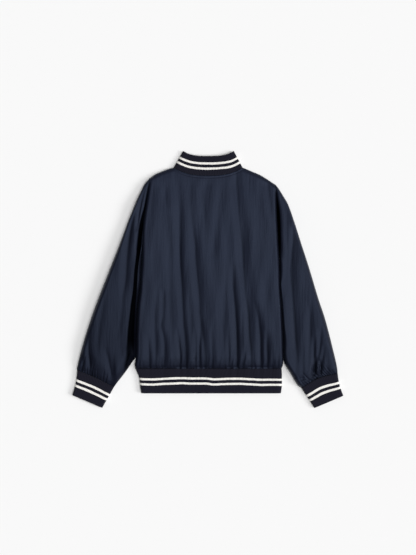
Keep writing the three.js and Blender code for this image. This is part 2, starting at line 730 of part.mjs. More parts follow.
// Press studs, caps down on the floor: down the left front's overlap, the lowest on the hem rib.
const SNAP_SIDES = 12;
const capProfile = [
  new THREE.Vector2(0, 0),
  new THREE.Vector2(SNAP_RADIUS - SNAP_BEVEL, 0),
  new THREE.Vector2(SNAP_RADIUS, SNAP_RIM.from),
  new THREE.Vector2(SNAP_RADIUS, SNAP_RIM.to),
  new THREE.Vector2(SNAP_RADIUS - SNAP_BEVEL, SNAP_HEIGHT),
  new THREE.Vector2(0, SNAP_HEIGHT),
];
const HEM_SNAP_Y = HEM_SEAM_Y - HEM_DEPTH / 2;
const lowestShellSnap = TOP_SNAP_Y - SNAP_PITCH * (SHELL_SNAPS - 1);
const snapPlaces = [...steps(TOP_SNAP_Y, lowestShellSnap, SHELL_SNAPS - 1), HEM_SNAP_Y];
snapPlaces.forEach((y, k) => {
  const cap = new THREE.LatheGeometry(capProfile, SNAP_SIDES).rotateX(Math.PI / 2);
  const snap = add(`snap_${k + 1}`, cap, snapMetal);
  snap.position.set(CENTRE_X, y, 0);
});

export default jacket;
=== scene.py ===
import bpy
import numpy as np
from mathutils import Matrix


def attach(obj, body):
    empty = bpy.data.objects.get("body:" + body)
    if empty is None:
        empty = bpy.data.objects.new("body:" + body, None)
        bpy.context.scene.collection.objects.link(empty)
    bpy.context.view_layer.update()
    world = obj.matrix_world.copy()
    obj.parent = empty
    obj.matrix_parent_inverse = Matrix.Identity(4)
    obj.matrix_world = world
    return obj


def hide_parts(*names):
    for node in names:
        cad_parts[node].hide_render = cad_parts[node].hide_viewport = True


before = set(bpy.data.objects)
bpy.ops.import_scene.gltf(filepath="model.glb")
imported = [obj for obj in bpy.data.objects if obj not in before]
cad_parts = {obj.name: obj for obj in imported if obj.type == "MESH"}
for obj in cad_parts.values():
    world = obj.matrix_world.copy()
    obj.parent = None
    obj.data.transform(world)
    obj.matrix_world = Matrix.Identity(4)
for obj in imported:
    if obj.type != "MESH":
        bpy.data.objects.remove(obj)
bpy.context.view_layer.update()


# Back panel
# One width of navy nylon taffeta on a thin quilted lining, cut full and gathered into the hem rib.
# It lies face up: long folds run down it, and its sides turn under to the side seams.

MM = 0.001
SHELL_WALL = 1.4  # shell cloth and lining, pressed flat at the edges
EDGE_HEIGHT = 6.0  # height of a folded edge or side seam over the floor
SEAM_GAP = 0.3
UPPER_REACH = 15.0  # in from an edge, where the upper layer is at its full height
SIDE_REACH = 9.0  # the same along the side seams, where the cloth turns down more tightly
LOWER_REACH = 8.0  # in from an edge, where the lower layer is down on the floor
TURN = 0.1  # share of a layer's columns that each rounded edge takes

HEM_SEAM_Y = -267.0
UNDERARM_Y = 48.0
ARMHOLE_RISE = 60.0
STITCH_FROM_SEAM = 6.0  # where the collar's topstitching presses the cloth down
NECK_LEFT_X, NECK_RIGHT_X, NECK_Y = -102.0, 104.0, 335.0
BACK_NECK_DROP = 24.0
BACK_NECK_BEND = 2.6  # how flat the middle of the neck curve is: 2 is a parabola


def table(columns, *rows):
    """A short table, as one array for each named column."""
    return dict(zip(columns.split(), np.array(rows, float).T))


def read(rows, key, column, at):
    """One column of a table at places along another, on a smooth curve through its rows."""
    x, y = rows[key], rows[column]
    before = np.maximum(np.arange(len(x)) - 1, 0)
    after = np.minimum(np.arange(len(x)) + 1, len(x) - 1)
    slope = (y[after] - y[before]) / (x[after] - x[before])
    at = np.clip(at, x[0], x[-1])
    i = np.clip(np.searchsorted(x, at) - 1, 0, len(x) - 2)
    step = x[i + 1] - x[i]
    t = (at - x[i]) / step
    ends = (1 + 2 * t) * (1 - t) ** 2 * y[i] + t**2 * (3 - 2 * t) * y[i + 1]
    return ends + step * (t * (1 - t) ** 2 * slope[i] + t**2 * (t - 1) * slope[i + 1])


def smooth(value, low, high):
    t = np.clip((value - low) / (high - low), 0, 1)
    return t * t * (3 - 2 * t)


def roll(distance, reach):
    """Quarter round from 0 at an edge to 1 at its reach."""
    return np.sqrt(1 - (1 - np.clip(distance / reach, 0, 1)) ** 2)


def edge(distance, reach, opening):
    """The same where the edge opens, with opening 1, into the next piece."""
    return 1 - (1 - roll(distance, reach)) * (1 - opening)


def across(share, width, left_reach, right_reach):
    """Distance across a layer at a share of its columns."""
    start = TURN if left_reach > 0 else 0.0
    end = 1 - TURN if right_reach > 0 else 1.0
    turn_in = left_reach * (1 - np.cos(np.clip(share / TURN, 0, 1) * np.pi / 2))
    turn_out = right_reach * (1 - np.cos(np.clip((1 - share) / TURN, 0, 1) * np.pi / 2))
    flat = left_reach + (width - left_reach - right_reach) * (share - start) / (end - start)
    return np.where(share < start, turn_in, np.where(share > end, width - turn_out, flat))


BODY_EDGES = table(
    "y left right",
    (-267, -217, 221),
    (-256, -219, 225),
    (-236, -216, 226),
    (-164, -214, 224),
    (-83, -210, 221),
    (-32, -204, 217),
    (16, -201, 215),
    (73, -197, 213),
    (160, -194, 209),
    (199, -189, 207),
    (247, -181, 205),
    (304, -172, 202),
)
LEFT_SHOULDER = table("x y", (-172, 304), (-156, 315), (-122, 329), (-102, 335))
RIGHT_SHOULDER = table("x y", (104, 335), (130, 324), (161, 310.3), (202, 283))
BODY_CROWN = table(
    "y height",
    (-267, 15),
    (-255, 21),
    (-225, 25),
    (0, 26),
    (200, 24),
    (290, 19),
    (335, 15),
)


def body_edge(side, y):
    return read(BODY_EDGES, "y", side, y)


def armhole_opening(y):
    return smooth(y, UNDERARM_Y, UNDERARM_Y + ARMHOLE_RISE)


def top_line(x, drop, bend):
    """Height of the shoulder and neck line at x, for a neck that drops this far at its middle."""
    middle = (NECK_LEFT_X + NECK_RIGHT_X) / 2
    from_middle = np.clip(np.abs(x - middle) / (NECK_RIGHT_X - middle), 0, 1)
    neck = NECK_Y - drop * (1 - from_middle**bend)
    left = read(LEFT_SHOULDER, "x", "y", x)
    right = read(RIGHT_SHOULDER, "x", "y", x)
    return np.where(x <= NECK_LEFT_X, left, np.where(x >= NECK_RIGHT_X, right, neck))


def neck_opening(x, reach):
    return roll(np.clip(np.minimum(x - NECK_LEFT_X, NECK_RIGHT_X - x), 0, None), reach)


# A fold: widths of its two flanks, roundness of its bottom, then places along it as y, x and depth.
BODY_FOLDS = (
    (12, 8, 2.0, (-266, -65, 6.5), (-200, -66, 6.5), (-140, -72, 6), (-80, -76, 5), (-20, -79, 6),
     (40, -83, 8), (100, -84, 8), (190, -84, 5), (250, -84, 2), (300, -84, 0)),
    (10, 10, 2.0, (-266, -10, 6.5), (-200, -11, 5), (-170, -15, 5), (-110, -24, 5), (-50, -27, 5),
     (40, -36, 5), (100, -39, 5), (160, -46, 4), (220, -51, 2.5), (290, -56, 0)),
    (6, 5, 1.5, (-266, -25, 6.5), (-200, -26, 5), (-170, -24, 4), (-110, -22, 0)),
    (5, 5, 1.5, (-266, -37, 5), (-200, -37, 4), (-140, -38, 0)),
    (11, 11, 3.0, (40, -6, 0), (130, -6, 2), (190, -9, 3), (250, -18, 2), (295, -22, 0)),
    (10, 12, 3.0, (60, 20, 0), (100, 22, 2), (160, 28, 2), (220, 33, 1.5), (300, 44, 0)),
    (8, 22, 2.0, (-266, 129, 8), (-230, 129, 9), (-170, 123, 10.5), (-110, 120, 10.5), (-80, 117, 8),
     (-50, 112, 6), (40, 105, 8), (100, 101, 8), (190, 92, 7), (280, 85, 7), (330, 85, 4)),
    (8, 8, 1.8, (-266, 85, 8), (-200, 86, 10), (-140, 84, 10), (-80, 80, 7), (-20, 75, 5),
     (60, 74, 0)),
    (9, 9, 3.0, (-266, 51, 1.5), (-170, 48, 2), (-110, 50, 2), (-50, 51, 2), (10, 55, 1.5),
     (90, 55, 0)),
    (6, 6, 2.0, (-266, 63, 4), (-200, 62, 3), (-120, 61, 0)),
    (7, 9, 1.8, (-266, 157, 8), (-230, 157, 9), (-170, 156, 8), (-110, 150, 4), (-60, 142, 0)),
    (7, 9, 1.8, (-266, 177, 5), (-200, 177, 6), (-145, 177, 0)),
    (5, 5, 2.0, (-266, 192, 2.5), (-210, 192, 0)),
    (14, 12, 3.0, (30, 177, 0), (100, 176, 1.2), (160, 170, 1.8), (220, 158, 1.8), (280, 155, 2),
     (308, 154, 0)),
    (9, 9, 2.0, (180, 189, 0), (220, 185, 3), (280, 179, 3), (298, 178, 0)),
    (12, 12, 4.0, (-266, -94, 2), (-200, -103, 1.5), (-110, -110, 3), (10, -112, 1.5), (130, -114, 3),
     (220, -112, 0)),
    (9, 10, 3.0, (205, -122, 0), (250, -126, 3), (300, -122, 0)),
    (7, 8, 1.8, (-266, -132, 5), (-200, -129, 4), (-170, -132, 3.6), (-140, -139, 3.0), (-110, -135, 3.4),
     (-50, -134, 3), (-20, -136, 0)),
    (8, 7, 2.0, (-266, -156, 2), (-200, -156, 3.8), (-110, -158, 2.2), (-40, -152, 1.2), (0, -144, 0)),
    (5, 6, 2.0, (-266, -174, 4), (-200, -176, 2.5), (-160, -178, 0)),
    (6, 6, 1.5, (-266, -83, 8), (-230, -83, 6.5), (-200, -86, 5), (-145, -91, 0)),
    (8, 8, 3.0, (-240, -43, 1), (-140, -50, 2), (-80, -53, 2), (0, -57, 0)),
    (6, 6, 2.0, (-266, 14, 2.5), (-170, 13, 2), (-110, 18, 0)),
    (6, 6, 2.0, (-266, 104, 2.5), (-110, 102, 2), (-80, 102, 0)),
    (9, 10, 3.0, (70, -184, 0), (160, -180, 2), (250, -170, 2), (290, -160, 0)),
)


FOLD_RELIEF = 0.7  # share of its depth that a fold keeps once the cloth has settled
# Where and how dark the painted shade lies on each fold's shaded side.
LINE_SHIFT = 3.0  # from a fold's bottom to the middle of its shaded side
LINE_WIDTH = 0.45  # of that shade, as a share of the narrower flank
LINE_FULL = 21.0  # depth at which a fold's shaded side is fully dark


def fold_depth(folds, x, y):
    """How far the folds lower the cloth at each place."""
    total = np.zeros_like(x)
    for left, right, bottom, *path in folds:
        rows = table("y x depth", *path)
        away = x - read(rows, "y", "x", y)
        spread = (np.hypot(away, bottom) - bottom) / np.where(away < 0, left, right)
        within = (y > rows["y"][0] - 1) & (y < rows["y"][-1])
        total += np.where(within, FOLD_RELIEF * read(rows, "y", "depth", y) * np.exp(-(spread**1.4)), 0)
    return total


def painted_fold_shade(folds, x, y):
    """How much painted shade each place gets as the shaded side of a fold, from 0 to 1. The light comes from the right.
    """
    total = np.zeros_like(x)
    for left, right, bottom, *path in folds:
        rows = table("y x depth", *path)
        width = LINE_WIDTH * min(left, right)
        away = x - read(rows, "y", "x", y) - LINE_SHIFT
        within = (y > rows["y"][0] - 1) & (y < rows["y"][-1])
        total += np.where(within, read(rows, "y", "depth", y) / LINE_FULL * np.exp(-((away / width) ** 2)), 0)
    return total


def soft_waves(x, y, seed, height, across_mm=(35, 110), along_mm=(180, 500)):
    """The slight unevenness of cloth that has been worn: long waves, mostly down the piece."""
    random = np.random.default_rng(seed)
    total = np.zeros_like(x)
    count = 14
    for _ in range(count):
        wide = random.uniform(*across_mm)
        long = random.uniform(*along_mm) * random.choice([-1, 1])
        total += np.sin(2 * np.pi * (x / wide + y / long) + random.uniform(0, 2 * np.pi))
    return height * total / np.sqrt(count)


def gathers(s, away, length, seed, pitch, depth):
    """Small pleats drawn into a seam. s runs along the seam, away is the distance from it."""
    random = np.random.default_rng(seed)
    total = np.zeros_like(s)
    place = pitch * random.uniform(0.3, 1)
    while place < length:
        reach = pitch * random.uniform(1.6, 7.5)
        lean = random.uniform(-0.12, 0.12)
        width = pitch * random.uniform(0.22, 0.4)
        here = s - place - lean * away
        fade = np.clip(1 - away / reach, 0, 1) ** 1.3
        total += depth * random.uniform(0.5, 1.3) * fade * np.exp(-((here / width) ** 2))
        place += pitch * random.uniform(0.65, 1.35)
    return total


# How far the cloth dips along each armhole seam, and how wide the dip is on the sleeve's side.
ARMHOLE_DIPS = {
    "left": table(
        "y depth width",
        (-150, 12, 9),
        (48, 14, 6.5),
        (118, 14, 6),
        (180, 12, 6),
        (225, 8, 5),
        (285, 4, 4),
        (304, 0, 4),
    ),
    "right": table(
        "y depth width",
        (-60, 1.5, 5),
        (20, 5, 5),
        (60, 14, 6),
        (118, 15, 6),
        (200, 14, 7),
        (245, 8, 4),
        (270, 3, 4),
        (283, 0, 4),
    ),
}
# How far beside each armhole seam the sleeve's crease lies.
CREASE_OFFSETS = {
    "left": table("y offset", (-150, 15), (-92, 13), (28, 13), (88, 10), (148, 5.5), (208, 0)),
    "right": table("y offset", (-150, 0), (208, 0)),
}
# How dark the painted shade on the back is along each armhole seam.
ARMHOLE_SHADE = {
    "left": table("y dark", (-150, 0.15), (100, 0.3), (200, 0.5)),
    "right": table("y dark", (-60, 0.05), (20, 0.15), (70, 0.65)),
}
DIP_IN_BACK = 3.5
BACK_WIDTH = 446.0  # along the hem seam


def armhole_dip(side, y, away, width=None):
    """Depth of the dip along an armhole, at a distance from its seam."""
    dips = ARMHOLE_DIPS[side]
    reach = read(dips, "y", "width", y) if width is None else width
    return read(dips, "y", "depth", y) * armhole_opening(y) * np.exp(-((away / reach) ** 1.6))


def yoke_calm(y):
    """Share of their depth that the folds keep: they are fainter across the shoulders."""
    return 1 - 0.3 * smooth(y, 60, 180)


def back_height(x, y, from_top):
    crown = read(BODY_CROWN, "y", "height", y) - fold_depth(BODY_FOLDS, x, y) * yoke_calm(y)
    from_side = np.minimum(x - body_edge("left", y), body_edge("right", y) - x)
    side = edge(from_side, SIDE_REACH, armhole_opening(y))
    top = edge(from_top, UPPER_REACH, neck_opening(x, UPPER_REACH))
    low = EDGE_HEIGHT + SEAM_GAP
    return low + (crown - low) * side * top


def hem_gathers(s, away):
    """The back's full width drawn into the hem rib: fine pleats and broader ones."""
    fine = gathers(s, away, BACK_WIDTH, 5, 8.5, 2.2)
    return fine + gathers(s, away, BACK_WIDTH, 6, 17, 2.0)


def back_surface(x, y, top):
    """Height of the back's outer face at a place, with the neck or shoulder line at this top."""
    left, right = body_edge("left", y), body_edge("right", y)
    from_side = np.minimum(x - left, right - x)
    inside = smooth(from_side, 0, 25)
    above_hem = y - HEM_SEAM_Y
    z = back_height(x, y, top - y)
    z += soft_waves(x, y, 11, 0.55) * inside * smooth(top - y, 0, 40) * smooth(above_hem, 0, 30)
    z -= hem_gathers(x - left, above_hem) * inside
    z -= 0.6 * np.exp(-((above_hem / 1.8) ** 2)) * inside
    below_neck = top - y
    neck = neck_opening(x, 12)
    z -= 1.3 * np.exp(-((below_neck / 1.6) ** 2)) * neck
    z += 0.8 * np.exp(-(((below_neck - 3) / 1.8) ** 2)) * neck
    z -= 1.1 * np.exp(-(((below_neck - STITCH_FROM_SEAM) / 1.4) ** 2)) * neck
    for side in ("left", "right"):
        in_back = 1 - read(CREASE_OFFSETS[side], "y", "offset", y) / 20
        dip = armhole_dip(side, y, np.abs(x - body_edge(side, y)), width=DIP_IN_BACK)
        z -= dip * in_back * smooth(top - y, 0, 20)
    return z


def back_point(u, v):
    left_top, right_top = body_edge("left", NECK_Y), body_edge("right", NECK_Y)
    top_x = left_top + across(u, right_top - left_top, UPPER_REACH, UPPER_REACH)
    top = top_line(top_x, BACK_NECK_DROP, BACK_NECK_BEND)
    y = HEM_SEAM_Y + across(v, top - HEM_SEAM_Y, 0, UPPER_REACH)
    left = body_edge("left", y)
    x = left + across(u, body_edge("right", y) - left, UPPER_REACH, UPPER_REACH)
    z = back_surface(x, y, top)
    return np.stack([x, y, z], -1)


def cloth_wall(name, point, columns, rows, wall, closed=False, underside=False):
    """A closed wall of cloth: an outer skin through point(u, v), and the same skin moved in by the wall."""
    u, v = np.meshgrid(columns, rows)
    outer = point(u, v)
    if closed:
        padded = np.concatenate([outer[:, -2:-1], outer[:, :-1], outer[:, :1]], 1)
        along_u = (padded[:, 2:] - padded[:, :-2])
        outer, u, v = outer[:, :-1], u[:, :-1], v[:, :-1]
    else:
        along_u = np.gradient(outer, axis=1)
    along_v = np.gradient(outer, axis=0)
    normal = np.cross(along_u, along_v)
    normal /= np.linalg.norm(normal, axis=-1, keepdims=True) + 1e-12
    if underside:
        normal = -normal
    inner = outer - normal * wall
    count_v, count_u = outer.shape[:2]
    index = np.arange(count_u * count_v).reshape(count_v, count_u)
    if closed:
        index = np.concatenate([index, index[:, :1]], 1)
    far = index + count_u * count_v

    def quads(a, b):
        """Faces between two rows of vertices that lie side by side."""
        return np.stack([a[:-1], a[1:], b[1:], b[:-1]], -1)

    faces = [np.concatenate([quads(index[k], index[k + 1]) for k in range(count_v - 1)])]
    faces.append(np.concatenate([quads(far[k + 1], far[k]) for k in range(count_v - 1)]))
    faces.append(quads(far[0], index[0]))
    faces.append(quads(index[-1], far[-1]))
    if not closed:
        faces.append(quads(index[:, 0], far[:, 0]))
        faces.append(quads(far[:, -1], index[:, -1]))
    faces = np.concatenate(faces)
    if underside:
        faces = faces[:, ::-1]
    mesh = bpy.data.meshes.new(name)
    points = np.concatenate([outer.reshape(-1, 3), inner.reshape(-1, 3)]) * MM
    mesh.from_pydata(points.tolist(), [], faces.tolist())
    step_u = np.linalg.norm(np.diff(outer, axis=1), axis=-1)
    step_v = np.linalg.norm(np.diff(outer, axis=0), axis=-1)
    run_u = np.concatenate([np.zeros((count_v, 1)), np.cumsum(step_u, 1)], 1)
    run_v = np.concatenate([np.zeros((1, count_u)), np.cumsum(step_v, 0)], 0)
    flat = np.stack([run_u, run_v], -1).reshape(-1, 2) * MM
    spot = np.concatenate([flat, flat])
    corner = np.zeros(len(mesh.loops), np.int32)
    mesh.loops.foreach_get("vertex_index", corner)
    layer = mesh.uv_layers.new(name="UVMap")
    layer.data.foreach_set("uv", spot[corner].ravel())
    outside = mesh.attributes.new("outside", "FLOAT", "POINT")
    outside.data.foreach_set("value", np.repeat([1.0, 0.0], count_u * count_v))
    mesh.polygons.foreach_set("use_smooth", np.ones(len(mesh.polygons), bool))
    piece = bpy.data.objects.new(name, mesh)
    bpy.context.scene.collection.objects.link(piece)
    return piece


def linear(hex_colour):
    """An sRGB hex colour as the linear colour that a shader takes."""
    values = [int(hex_colour[i : i + 2], 16) / 255 for i in (1, 3, 5)]
    return [v / 12.92 if v <= 0.04045 else ((v + 0.055) / 1.055) ** 2.4 for v in values] + [1.0]


def node(tree, kind, settings=None, **links):
    """Adds a node. A link is a value or another node's socket, for the input of that name or number."""
    made = tree.nodes.new(kind)
    for key, value in (settings or {}).items():
        setattr(made, key, value)
    for key, value in links.items():
        socket = made.inputs[int(key[1:])] if key[0] == "_" and key[1:].isdigit() else made.inputs[key.replace("_", " ")]
        if isinstance(value, bpy.types.NodeSocket):
            tree.links.new(value, socket)
        else:
            socket.default_value = value
    return made


def taffeta():
    """Nylon taffeta, plain woven and calendered: a dark navy with a soft, slightly blue sheen, and painted shade in its
    colour, gloss and sheen.
    """
    material = bpy.data.materials.new("nylon_taffeta")
    material.use_nodes = True
    tree = material.node_tree
    shader = tree.nodes["Principled BSDF"]
    place = node(tree, "ShaderNodeTexCoord")
    cloudy = node(tree, "ShaderNodeTexNoise", Vector=place.outputs["Object"], Scale=9.0, Detail=3.0)
    tone = node(tree, "ShaderNodeMix", {"data_type": "RGBA"}, _0=cloudy.outputs["Fac"])
    tone.inputs[6].default_value = linear("#121420")
    tone.inputs[7].default_value = linear("#171a28")
    split = node(tree, "ShaderNodeSeparateXYZ", Vector=place.outputs["Object"])
    # Painted shade: colour, gloss and sheen get darker towards the hem, as the light falls off down the jacket.
    painted_falloff = node(tree, "ShaderNodeMapRange", Value=split.outputs["Y"])
    for name, value in (("From Min", -0.3), ("From Max", 0.3), ("To Min", 0.79), ("To Max", 1.07)):
        painted_falloff.inputs[name].default_value = value
    # Painted shade in the creases: each piece's painted crease shade attribute darkens colour, gloss and sheen.
    painted_crease_shade = node(tree, "ShaderNodeAttribute", {"attribute_name": "painted_crease_shade"})
    lit = node(tree, "ShaderNodeMath", {"operation": "SUBTRACT"}, _0=1.0, _1=painted_crease_shade.outputs["Fac"])
    level = node(tree, "ShaderNodeMath", {"operation": "MULTIPLY"}, _0=painted_falloff.outputs["Result"], _1=lit.outputs[0])
    base = node(tree, "ShaderNodeVectorMath", {"operation": "SCALE"}, _0=tone.outputs[2], Scale=level.outputs[0])
    gloss = node(tree, "ShaderNodeMath", {"operation": "MULTIPLY"}, _0=level.outputs[0], _1=0.38)
    sheen = node(tree, "ShaderNodeMath", {"operation": "MULTIPLY"}, _0=level.outputs[0], _1=0.06)
    tree.links.new(base.outputs["Vector"], shader.inputs["Base Color"])
    tree.links.new(gloss.outputs[0], shader.inputs["Specular IOR Level"])
    tree.links.new(sheen.outputs[0], shader.inputs["Sheen Weight"])
    stretch = node(tree, "ShaderNodeMapping", Vector=place.outputs["Object"], Scale=(1.0, 0.12, 1.0))
    puckers = node(tree, "ShaderNodeTexNoise", Vector=stretch.outputs["Vector"], Scale=140.0, Detail=3.0)
    weave = node(tree, "ShaderNodeTexNoise", Vector=place.outputs["Object"], Scale=900.0, Detail=1.0)
    low = node(tree, "ShaderNodeBump", Strength=0.4, Distance=0.002, Height=puckers.outputs["Fac"])
    fine = node(
        tree,
        "ShaderNodeBump",
        Strength=0.12,
        Distance=0.0004,
        Height=weave.outputs["Fac"],
        Normal=low.outputs["Normal"],
    )
    tree.links.new(fine.outputs["Normal"], shader.inputs["Normal"])
    shader.inputs["Roughness"].default_value = 0.5
    shader.inputs["IOR"].default_value = 1.5
    shader.inputs["Specular Tint"].default_value = linear("#a1b4d8")
    shader.inputs["Sheen Roughness"].default_value = 0.5
    shader.inputs["Sheen Tint"].default_value = linear("#8f9dbd")
    return material


shell_cloth = taffeta()


def paint_crease_shade(piece, painted_shade):
    """Keeps how much painted shade each place gets, mostly in creases, which the cloth's colour reads. The function
    given takes x, y and z.
    """
    spots = np.zeros(3 * len(piece.data.vertices))
    piece.data.vertices.foreach_get("co", spots)
    x, y, z = spots.reshape(-1, 3).T / MM
    painted_crease_shade = piece.data.attributes.new("painted_crease_shade", "FLOAT", "POINT")
    painted_crease_shade.data.foreach_set("value", np.clip(painted_shade(x, y, z), 0, 0.97))


# Painted shade on the back: on the shaded sides of its folds, in the hem gathers, along the armhole seams, and where
# its left side turns down below the underarm.
def back_painted_shade(x, y, z):
    fold_and_gather_shade = painted_fold_shade(BODY_FOLDS, x, y) * yoke_calm(y) + 0.035 * hem_gathers(x - body_edge("left", y), y - HEM_SEAM_Y)
    armhole_painted_shade = armhole_opening(y) * sum(
        read(ARMHOLE_SHADE[side], "y", "dark", y) * np.exp(-((np.abs(x - body_edge(side, y)) / DIP_IN_BACK) ** 2))
        for side in ("left", "right")
    )
    turned_edge_shade = np.exp(-(((x - body_edge("left", y)) / 12) ** 2)) * (1 - armhole_opening(y))
    return fold_and_gather_shade + armhole_painted_shade * smooth(NECK_Y - y, 30, 80) + 0.3 * turned_edge_shade


def shares(count):
    return np.linspace(0, 1, count + 1)


def layer_shares(turned, flat):
    """Columns across a layer: some in each rounded edge, and even ones between."""
    start = TURN * shares(turned)[:-1]
    return np.concatenate([start, TURN + (1 - 2 * TURN) * shares(flat), 1 - start[::-1]])


def top_rows(flat, turned):
    return np.concatenate([(1 - TURN) * shares(flat)[:-1], 1 - TURN * (1 - shares(turned))])


back = cloth_wall("back", back_point, layer_shares(10, 160), top_rows(215, 10), SHELL_WALL)
back.data.materials.append(shell_cloth)
paint_crease_shade(back, back_painted_shade)
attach(back, "root")
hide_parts("back_panel")


# Fronts
# Left and right fronts of the same taffeta, lying on the floor under the back, with the left one outermost.
# The left front's overlap rests on the caps of the press studs, and the right front's edge lies on it.

CENTRE_X = 8.0
OVERLAP = 32.0
FRONT_NECK_DROP = 73.0
CAP_HEIGHT = 2.3
LEFT_LIFT = CAP_HEIGHT + SEAM_GAP
RIGHT_LIFT = LEFT_LIFT + 2.2 + SEAM_GAP
LIFT_HALF = OVERLAP / 2 + 14
RAMP = 16.0


def left_lift(x):
    return LEFT_LIFT * smooth(x, CENTRE_X - LIFT_HALF - RAMP, CENTRE_X - LIFT_HALF)


def right_lift(x, lift):
    return lift * (1 - smooth(x, CENTRE_X + LIFT_HALF, CENTRE_X + LIFT_HALF + RAMP))


def front_factor(from_side, from_top, x, y):
    side = edge(from_side, LOWER_REACH, armhole_opening(y))
    return side * edge(from_top, LOWER_REACH, neck_opening(x, LOWER_REACH))


def front_point(side):
    """The outer face of one front, which is the side on the floor."""
    left_front = side == "left"
    inside = CENTRE_X + OVERLAP / 2 if left_front else CENTRE_X - OVERLAP / 2
    reaches = (LOWER_REACH, 0) if left_front else (0, LOWER_REACH)

    def point(u, v):
        def place(y):
            outer = body_edge(side, y)
            start, end = (outer, inside) if left_front else (inside, outer)
            return start + across(u, end - start, *reaches)

        top_x = place(NECK_Y)
        top = top_line(top_x, FRONT_NECK_DROP, 2.6)
        y = HEM_SEAM_Y + across(v, top - HEM_SEAM_Y, 0, LOWER_REACH)
        x = place(y)
        lift = left_lift(x) if left_front else right_lift(x, RIGHT_LIFT)
        factor = front_factor(np.abs(x - body_edge(side, y)), top - y, x, y)
        high = EDGE_HEIGHT - SEAM_GAP
        return np.stack([x, y, high + (lift - high) * factor], -1)

    return point


side_shares = np.concatenate([TURN * shares(6)[:-1], TURN + (1 - TURN) * shares(80)])
for side, columns in (("left", side_shares), ("right", 1 - side_shares[::-1])):
    front = cloth_wall(f"front_of_{side}", front_point(side), columns, top_rows(110, 6), SHELL_WALL, underside=True)
    front.data.materials.append(shell_cloth)
    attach(front, "root")
    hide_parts(f"front_{side}")


# Sleeves
# Full one-piece sleeves set into the armholes and gathered into the cuffs, of the same taffeta.
# They are folded down beside the body, where a deep crease parts each from the back.

UPPER_SHARE = 0.7
SLEEVE_REACH = 16.0
TUCK = 0.8  # how far the sleeve's edge goes in under the body's, below the underarm
TUCK_HEIGHT = 2.5
# How wide the slope is by which each sleeve goes down beside the body.
FLANKS = {
    "left": table("y width", (-240, 46), (-180, 42), (-60, 32), (60, 25), (120, 20), (240, 10)),
    "right": table("y width", (-240, 20), (-180, 17), (-60, 8), (60, 9), (180, 12), (240, 10)),
}
# How wide a band of painted shade lies on the sleeve beside the body, and how dark it is.
SHADE_BANDS = {
    "left": table(
        "y width dark",
        (-290, 16, 0.4),
        (-182, 11, 0.85),
        (-92, 8, 0.9),
        (-2, 6, 0.85),
        (118, 6, 0.85),
        (178, 6, 0.8),
        (215, 4.5, 0.8),
        (285, 4, 0.5),
        (300, 4, 0),
    ),
    "right": table(
        "y width dark",
        (-290, 8, 0.1),
        (-182, 5, 0.25),
        (-62, 3, 0.1),
        (58, 4, 0.65),
        (118, 7, 0.95),
        (200, 8, 0.95),
        (245, 4, 0.7),
        (270, 3, 0),
    ),
}
SEAM_HEIGHT_FROM = 0.8
SLEEVE_CROWN = table("share height", (0, 15), (0.035, 22), (0.12, 28), (0.5, 30), (1, 25))
OUTER_EDGES = {
    "left": (
        (-391, -272),
        (-391, -262),
        (-379, -213),
        (-362.5, -157),
        (-340, -90),
        (-306, -2),
        (-266, 100),
        (-238.5, 174),
        (-214, 235),
        (-198, 269),
        (-187, 289),
        (-172.6, 304),
    ),
    "right": (
        (389, -281),
        (387, -262),
        (379, -226),
        (353, -124),
        (331, -57),
        (302, 39),
        (280, 106),
        (260.5, 167),
        (241, 222),
        (227, 247),
        (212, 271),
        (202.6, 283),
    ),
}
INNER_EDGES = {
    "left": ((-281, -322.5), (-272, -310), (-259, -293.5), (-244.5, -274.5), (-228, -250)),
    "right": ((280, -324.5), (270, -318), (260, -303), (249, -284), (237.5, -266), (229, -250)),
}
UNDERARM_STOPS = (-228, -195, -150, -90, -30, 20, UNDERARM_Y)
CUFF_BOWS = {"left": 3.0, "right": 8.0}  # how far each cuff seam bows up the sleeve at its middle
